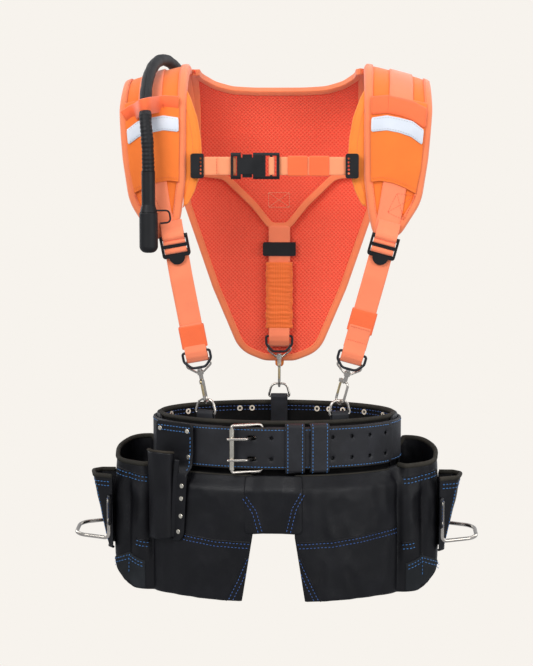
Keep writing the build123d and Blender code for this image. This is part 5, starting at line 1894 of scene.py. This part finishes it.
# ---- small side pockets on the hips ----
def make_side_pocket():
    """Narrow tapering pocket, its mouth rolled, made of one strip bent round three sides."""
    plan = Wall(rounded([(204.9, -57.0), (231.0, -46.0), (237.0, -16.0), (226.0, -5.0), (204.9, -5.0)],
                        [1, 8, 8, 6, 1], close=False))

    def place(u, v, w):
        here = plan.place(u, v, w)
        keep = 0.93 - 0.72 * np.clip((-44.0 - here[:, 2]) / 96.0, 0, 1) ** 1.1
        here[:, 0] = 204.9 + (here[:, 0] - 204.9) * np.maximum(keep, 0.12)
        drift = np.clip((-44.0 - here[:, 2]) / 96.0, 0, 1)
        here[:, 1] = here[:, 1] * (1 - 0.25 * drift) - 7.0 * drift
        return here

    def lift(u, v):
        return 0.5 * sag(u, v, v * 0.5) * np.clip((-46.0 - v) / 25.0, 0.1, 1)

    end = plan.long - 0.6
    loop = rounded([(0.6, -44.0), (end, -44.0), (end, -137.0), (0.6, -137.0)], [1, 1, 6, 6])
    sheet = Sheet([loop], place, lambda u, v, d: lift(u, v) + crown(d, 1.6, -0.8, 0.0),
                  lambda u, v, d: lift(u, v) - 2.4, step=3.6, rings=(0.8, 1.8))
    pocket = sheet.build("side_pocket_right", "bag")
    rim_u = np.arange(1.0, plan.long - 1.0, 1.6)
    rim_v = np.full(len(rim_u), -44.6)
    path = place(rim_u, rim_v, lift(rim_u, rim_v) - 1.2)
    out = place(rim_u, rim_v, lift(rim_u, rim_v) - 0.2) - path
    rim = sweep("side_pocket_rim_right", path, out, oval_section(2.9, 2.7, 14), "roll")
    rows = []
    for depth in (-52.0, -57.0):
        line = np.stack([rim_u[2:-2], np.full(len(rim_u) - 4, depth)], axis=1)
        rows.append(sheet.path(line))
    down = resample([(plan.u_at(229.0), -60.0), (plan.u_at(229.0), -130.0)], 2.0)
    rows.append(sheet.path(down))
    thread = stitches("side_pocket_stitch_right", rows, "blue", length=3.0, gap=1.5, radius=0.45)
    bottom = sweep("side_pocket_toe_right",
                   place(np.linspace(2, plan.long - 2, 30), np.full(30, -136.5), np.full(30, -2.2)),
                   np.tile([0.0, 0.0, -1.0], (30, 1)), oval_section(2.0, 1.6, 10), "bag")
    return [pocket, rim, thread, bottom]


for piece in make_side_pocket():
    both_replace(piece, "side_pockets")


# ---- plates that hold the hammer loops ----
PLATE_HALF = 8.0


def make_plate(name, y_mid, low, high):
    """A sewn and riveted leather plate over one foot of a hammer loop."""
    front, rear = y_mid - PLATE_HALF, y_mid + PLATE_HALF
    loop = rounded([(front, low), (rear, low), (rear, high), (front, high)], 3.0)

    def place(u, v, w):
        u, v, w = (np.asarray(k, float) for k in (u, v, w))
        bulge = 2.2 * np.exp(-((u - y_mid) / 3.0) ** 2)
        return np.stack([206.2 + w + bulge, u, v], axis=1)

    sheet = Sheet([loop], place, domed(1.4, 0.5, 1.4), level(-1.2), step=2.2, rings=(0.6, 1.4))
    plate = sheet.build(f"loop_plate_{name}_right", "bag")
    rows = [sheet.path(closed_line(loop, 2.6))]
    thread = stitches(f"loop_plate_stitch_{name}_right", rows, "blue_shaded", length=2.6, gap=1.3, radius=0.4)
    both_replace(plate, "hammer_loop_plates")
    both_replace(thread, "hammer_loop_plates")
    for k, z in enumerate((low + 7.0, high - 7.0)):
        for m, side in enumerate((-1, 1)):
            here, normal = sheet.path([(y_mid + side * PLATE_HALF * 0.55, z)] * 2)
            post = [here[0] + normal[0] * height for height in (-0.4, 0.5, 0.9)]
            mirrored(sweep(f"loop_plate_rivet_{name}_{k}{m}_right", post, np.tile(UP, (3, 1)),
                           oval_section(1.0, 1.0, 16), "nickel_bright", scale=(2.4, 2.3, 1.2)))


make_plate("front", -67.5, -104.0, -66.0)
make_plate("rear", 7.0, -98.0, -56.0)


# ---- tool sheath on the right hip side of the belt ----
SHEATH_X = -122.0
SHEATH_Y = -TAIL_B * math.sqrt(1 - (SHEATH_X / TAIL_A) ** 2)
SHEATH_TURN = math.atan2(TAIL_B ** 2 * SHEATH_X, -TAIL_A ** 2 * SHEATH_Y)


def sheath_place(u, y, v):
    """Sheath coordinates: u across it, y through it (front negative) and v up."""
    u, y, v = (np.asarray(k, float) for k in (u, y, v))
    c, s = math.cos(SHEATH_TURN), math.sin(SHEATH_TURN)
    return np.stack([SHEATH_X + c * u - s * y, SHEATH_Y + s * u + c * y, v], axis=1)


def make_sheath():
    step_v = np.array([-118.0, -60.0, -34.0, -26.0, -10.0, 28.0])
    step_y = np.array([-17.6, -17.6, -17.0, -7.0, -4.6, -4.4])

    def flap_y(v):
        return np.interp(v, step_v, step_y)

    def place(u, v, w):
        u, v, w = (np.asarray(k, float) for k in (u, v, w))
        ripple = np.array([0.7 * noise(Vector((a * 0.05, b * 0.03, 7.0))) for a, b in zip(u, v)])
        return sheath_place(u, flap_y(v) - w - ripple * np.clip((20.0 - v) / 40.0, 0.1, 1), v)

    loop = rounded([(-30, -118), (25, -118), (30, -38), (30, 28), (-30, 28)], [6, 12, 20, 5, 5])
    sheet = Sheet([loop], place, domed(1.8, 0.2, 1.2), level(-1.2), step=3.6, rings=(0.8, 1.8))
    flap = sheet.build("sheath_flap", "bag")
    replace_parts(flap, "tool_sheath")
    rows = [sheet.path([(u, v) for u in np.arange(-27.0, 28.0, 2.0)]) for v in (22.0, 16.5)]
    rows.append(sheet.path(resample([(26.5, 12.0), (26.5, -30.0)], 2.0)))
    stitches("sheath_stitch", rows, "blue", length=3.2, gap=1.5, radius=0.45)
    count, turns = 46, 34
    verts, faces = [], []
    angle = np.linspace(math.radians(-8), math.radians(188), count)
    for shell in (0.0, 2.3):
        for m in range(turns):
            t = m / (turns - 1)
            v = -116.5 + 108.5 * t
            flare = 1.0 + 0.02 * max(0.0, t - 0.86) / 0.14 - 0.10 * (1 - t)
            pinch = 1.0 - 0.10 * math.sin(t * math.pi)
            for q, a in enumerate(angle):
                wobble = 0.7 * noise(Vector((math.cos(a) * 1.4, math.sin(a) * 1.4, v * 0.03)))
                u = -9.0 + (19.0 * flare - shell + wobble) * math.cos(a)
                y = -18.9 - (14.2 * pinch * flare - shell + wobble) * math.sin(a)
                lift = 2.0 * math.sin(a) * max(0.0, t - 0.9) / 0.1
                verts.append(sheath_place([u], [y], [v + lift])[0])
    side = count * turns
    for m in range(turns - 1):
        for q in range(count - 1):
            a, b, c, d = m * count + q, m * count + q + 1, (m + 1) * count + q + 1, (m + 1) * count + q
            faces += [(a, b, c, d), (a + side, d + side, c + side, b + side)]
    for q in range(count - 1):
        top = (turns - 1) * count + q
        faces += [(q + 1, q, q + side, q + 1 + side), (top, top + 1, top + 1 + side, top + side)]
    for m in range(turns - 1):
        for q in (0, count - 1):
            a, b = m * count + q, (m + 1) * count + q
            faces.append((a, b, b + side, a + side) if q == 0 else (b, a, a + side, b + side))
    uvs = [(a * 17.0, m * 3.3) for _ in range(2) for m in range(turns) for a in angle]
    tube = new_object("sheath_tube", verts, faces, "bag", uvs)
    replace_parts(tube, "tool_sheath")
    lip_angle = np.linspace(math.radians(-4), math.radians(184), 40)
    lip = np.array([sheath_place([-9.0 + 18.4 * 1.01 * math.cos(a)], [-18.9 - 13.6 * 1.01 * math.sin(a)],
                                 [-8.0 + 2.0 * math.sin(a)])[0] for a in lip_angle])
    centre = sheath_place([-9.0], [-18.9], [-8.0])[0]
    out = lip - centre
    roll = sweep("sheath_lip", lip, out / np.linalg.norm(out, axis=1, keepdims=True), oval_section(1.5, 1.5, 12),
                 "raw_edge")
    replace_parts(roll, "tool_sheath")
    welt_v = np.arange(-114.0, -14.0, 2.0)
    welt = sheath_place(np.interp(welt_v, [-114, -40, -14], [9.0, 13.5, 17.0]), np.full(len(welt_v), -19.0), welt_v)
    bulge = sweep("sheath_welt", welt, np.tile([0.0, -1.0, 0.0], (len(welt_v), 1)), oval_section(3.2, 1.2, 12), "bag")
    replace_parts(bulge, "tool_sheath")


make_sheath()


# ================= finish of the pieces that stay as modelled in CAD =================
NODE_FINISH = {
    "nickel": ["buckle_frame", "buckle_prong_lower", "buckle_prong_upper", "d_ring_left",
               "d_ring_right", "d_ring_back", "snap_hook_left", "snap_hook_right", "snap_hook_back", "swivel_eyes",
               "hammer_loops"],
    "brass": ["snap_gate_left", "snap_gate_right", "snap_gate_back"],
    "nickel_bright": ["buckle_roller", "rivets"],
    # Painted highlight: the pale eyelet plate stands in for the metal's reflection.
    "eyelet_highlight": ["belt_eyelets"],
    "steel_black": ["strap_d_rings"],
    "plastic": ["chest_clips", "chest_socket", "chest_plug", "chest_latch_lower", "chest_latch_upper",
                "ladder_lock_left", "ladder_lock_right", "back_strap_slider"],
    "rubber": ["bite_valve", "bite_valve_cover"],
    "bladder": ["reservoir_bladder"],
}
for finish, names in NODE_FINISH.items():
    for name in names:
        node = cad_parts[name]
        node.data.materials.clear()
        node.data.materials.append(mats[finish])
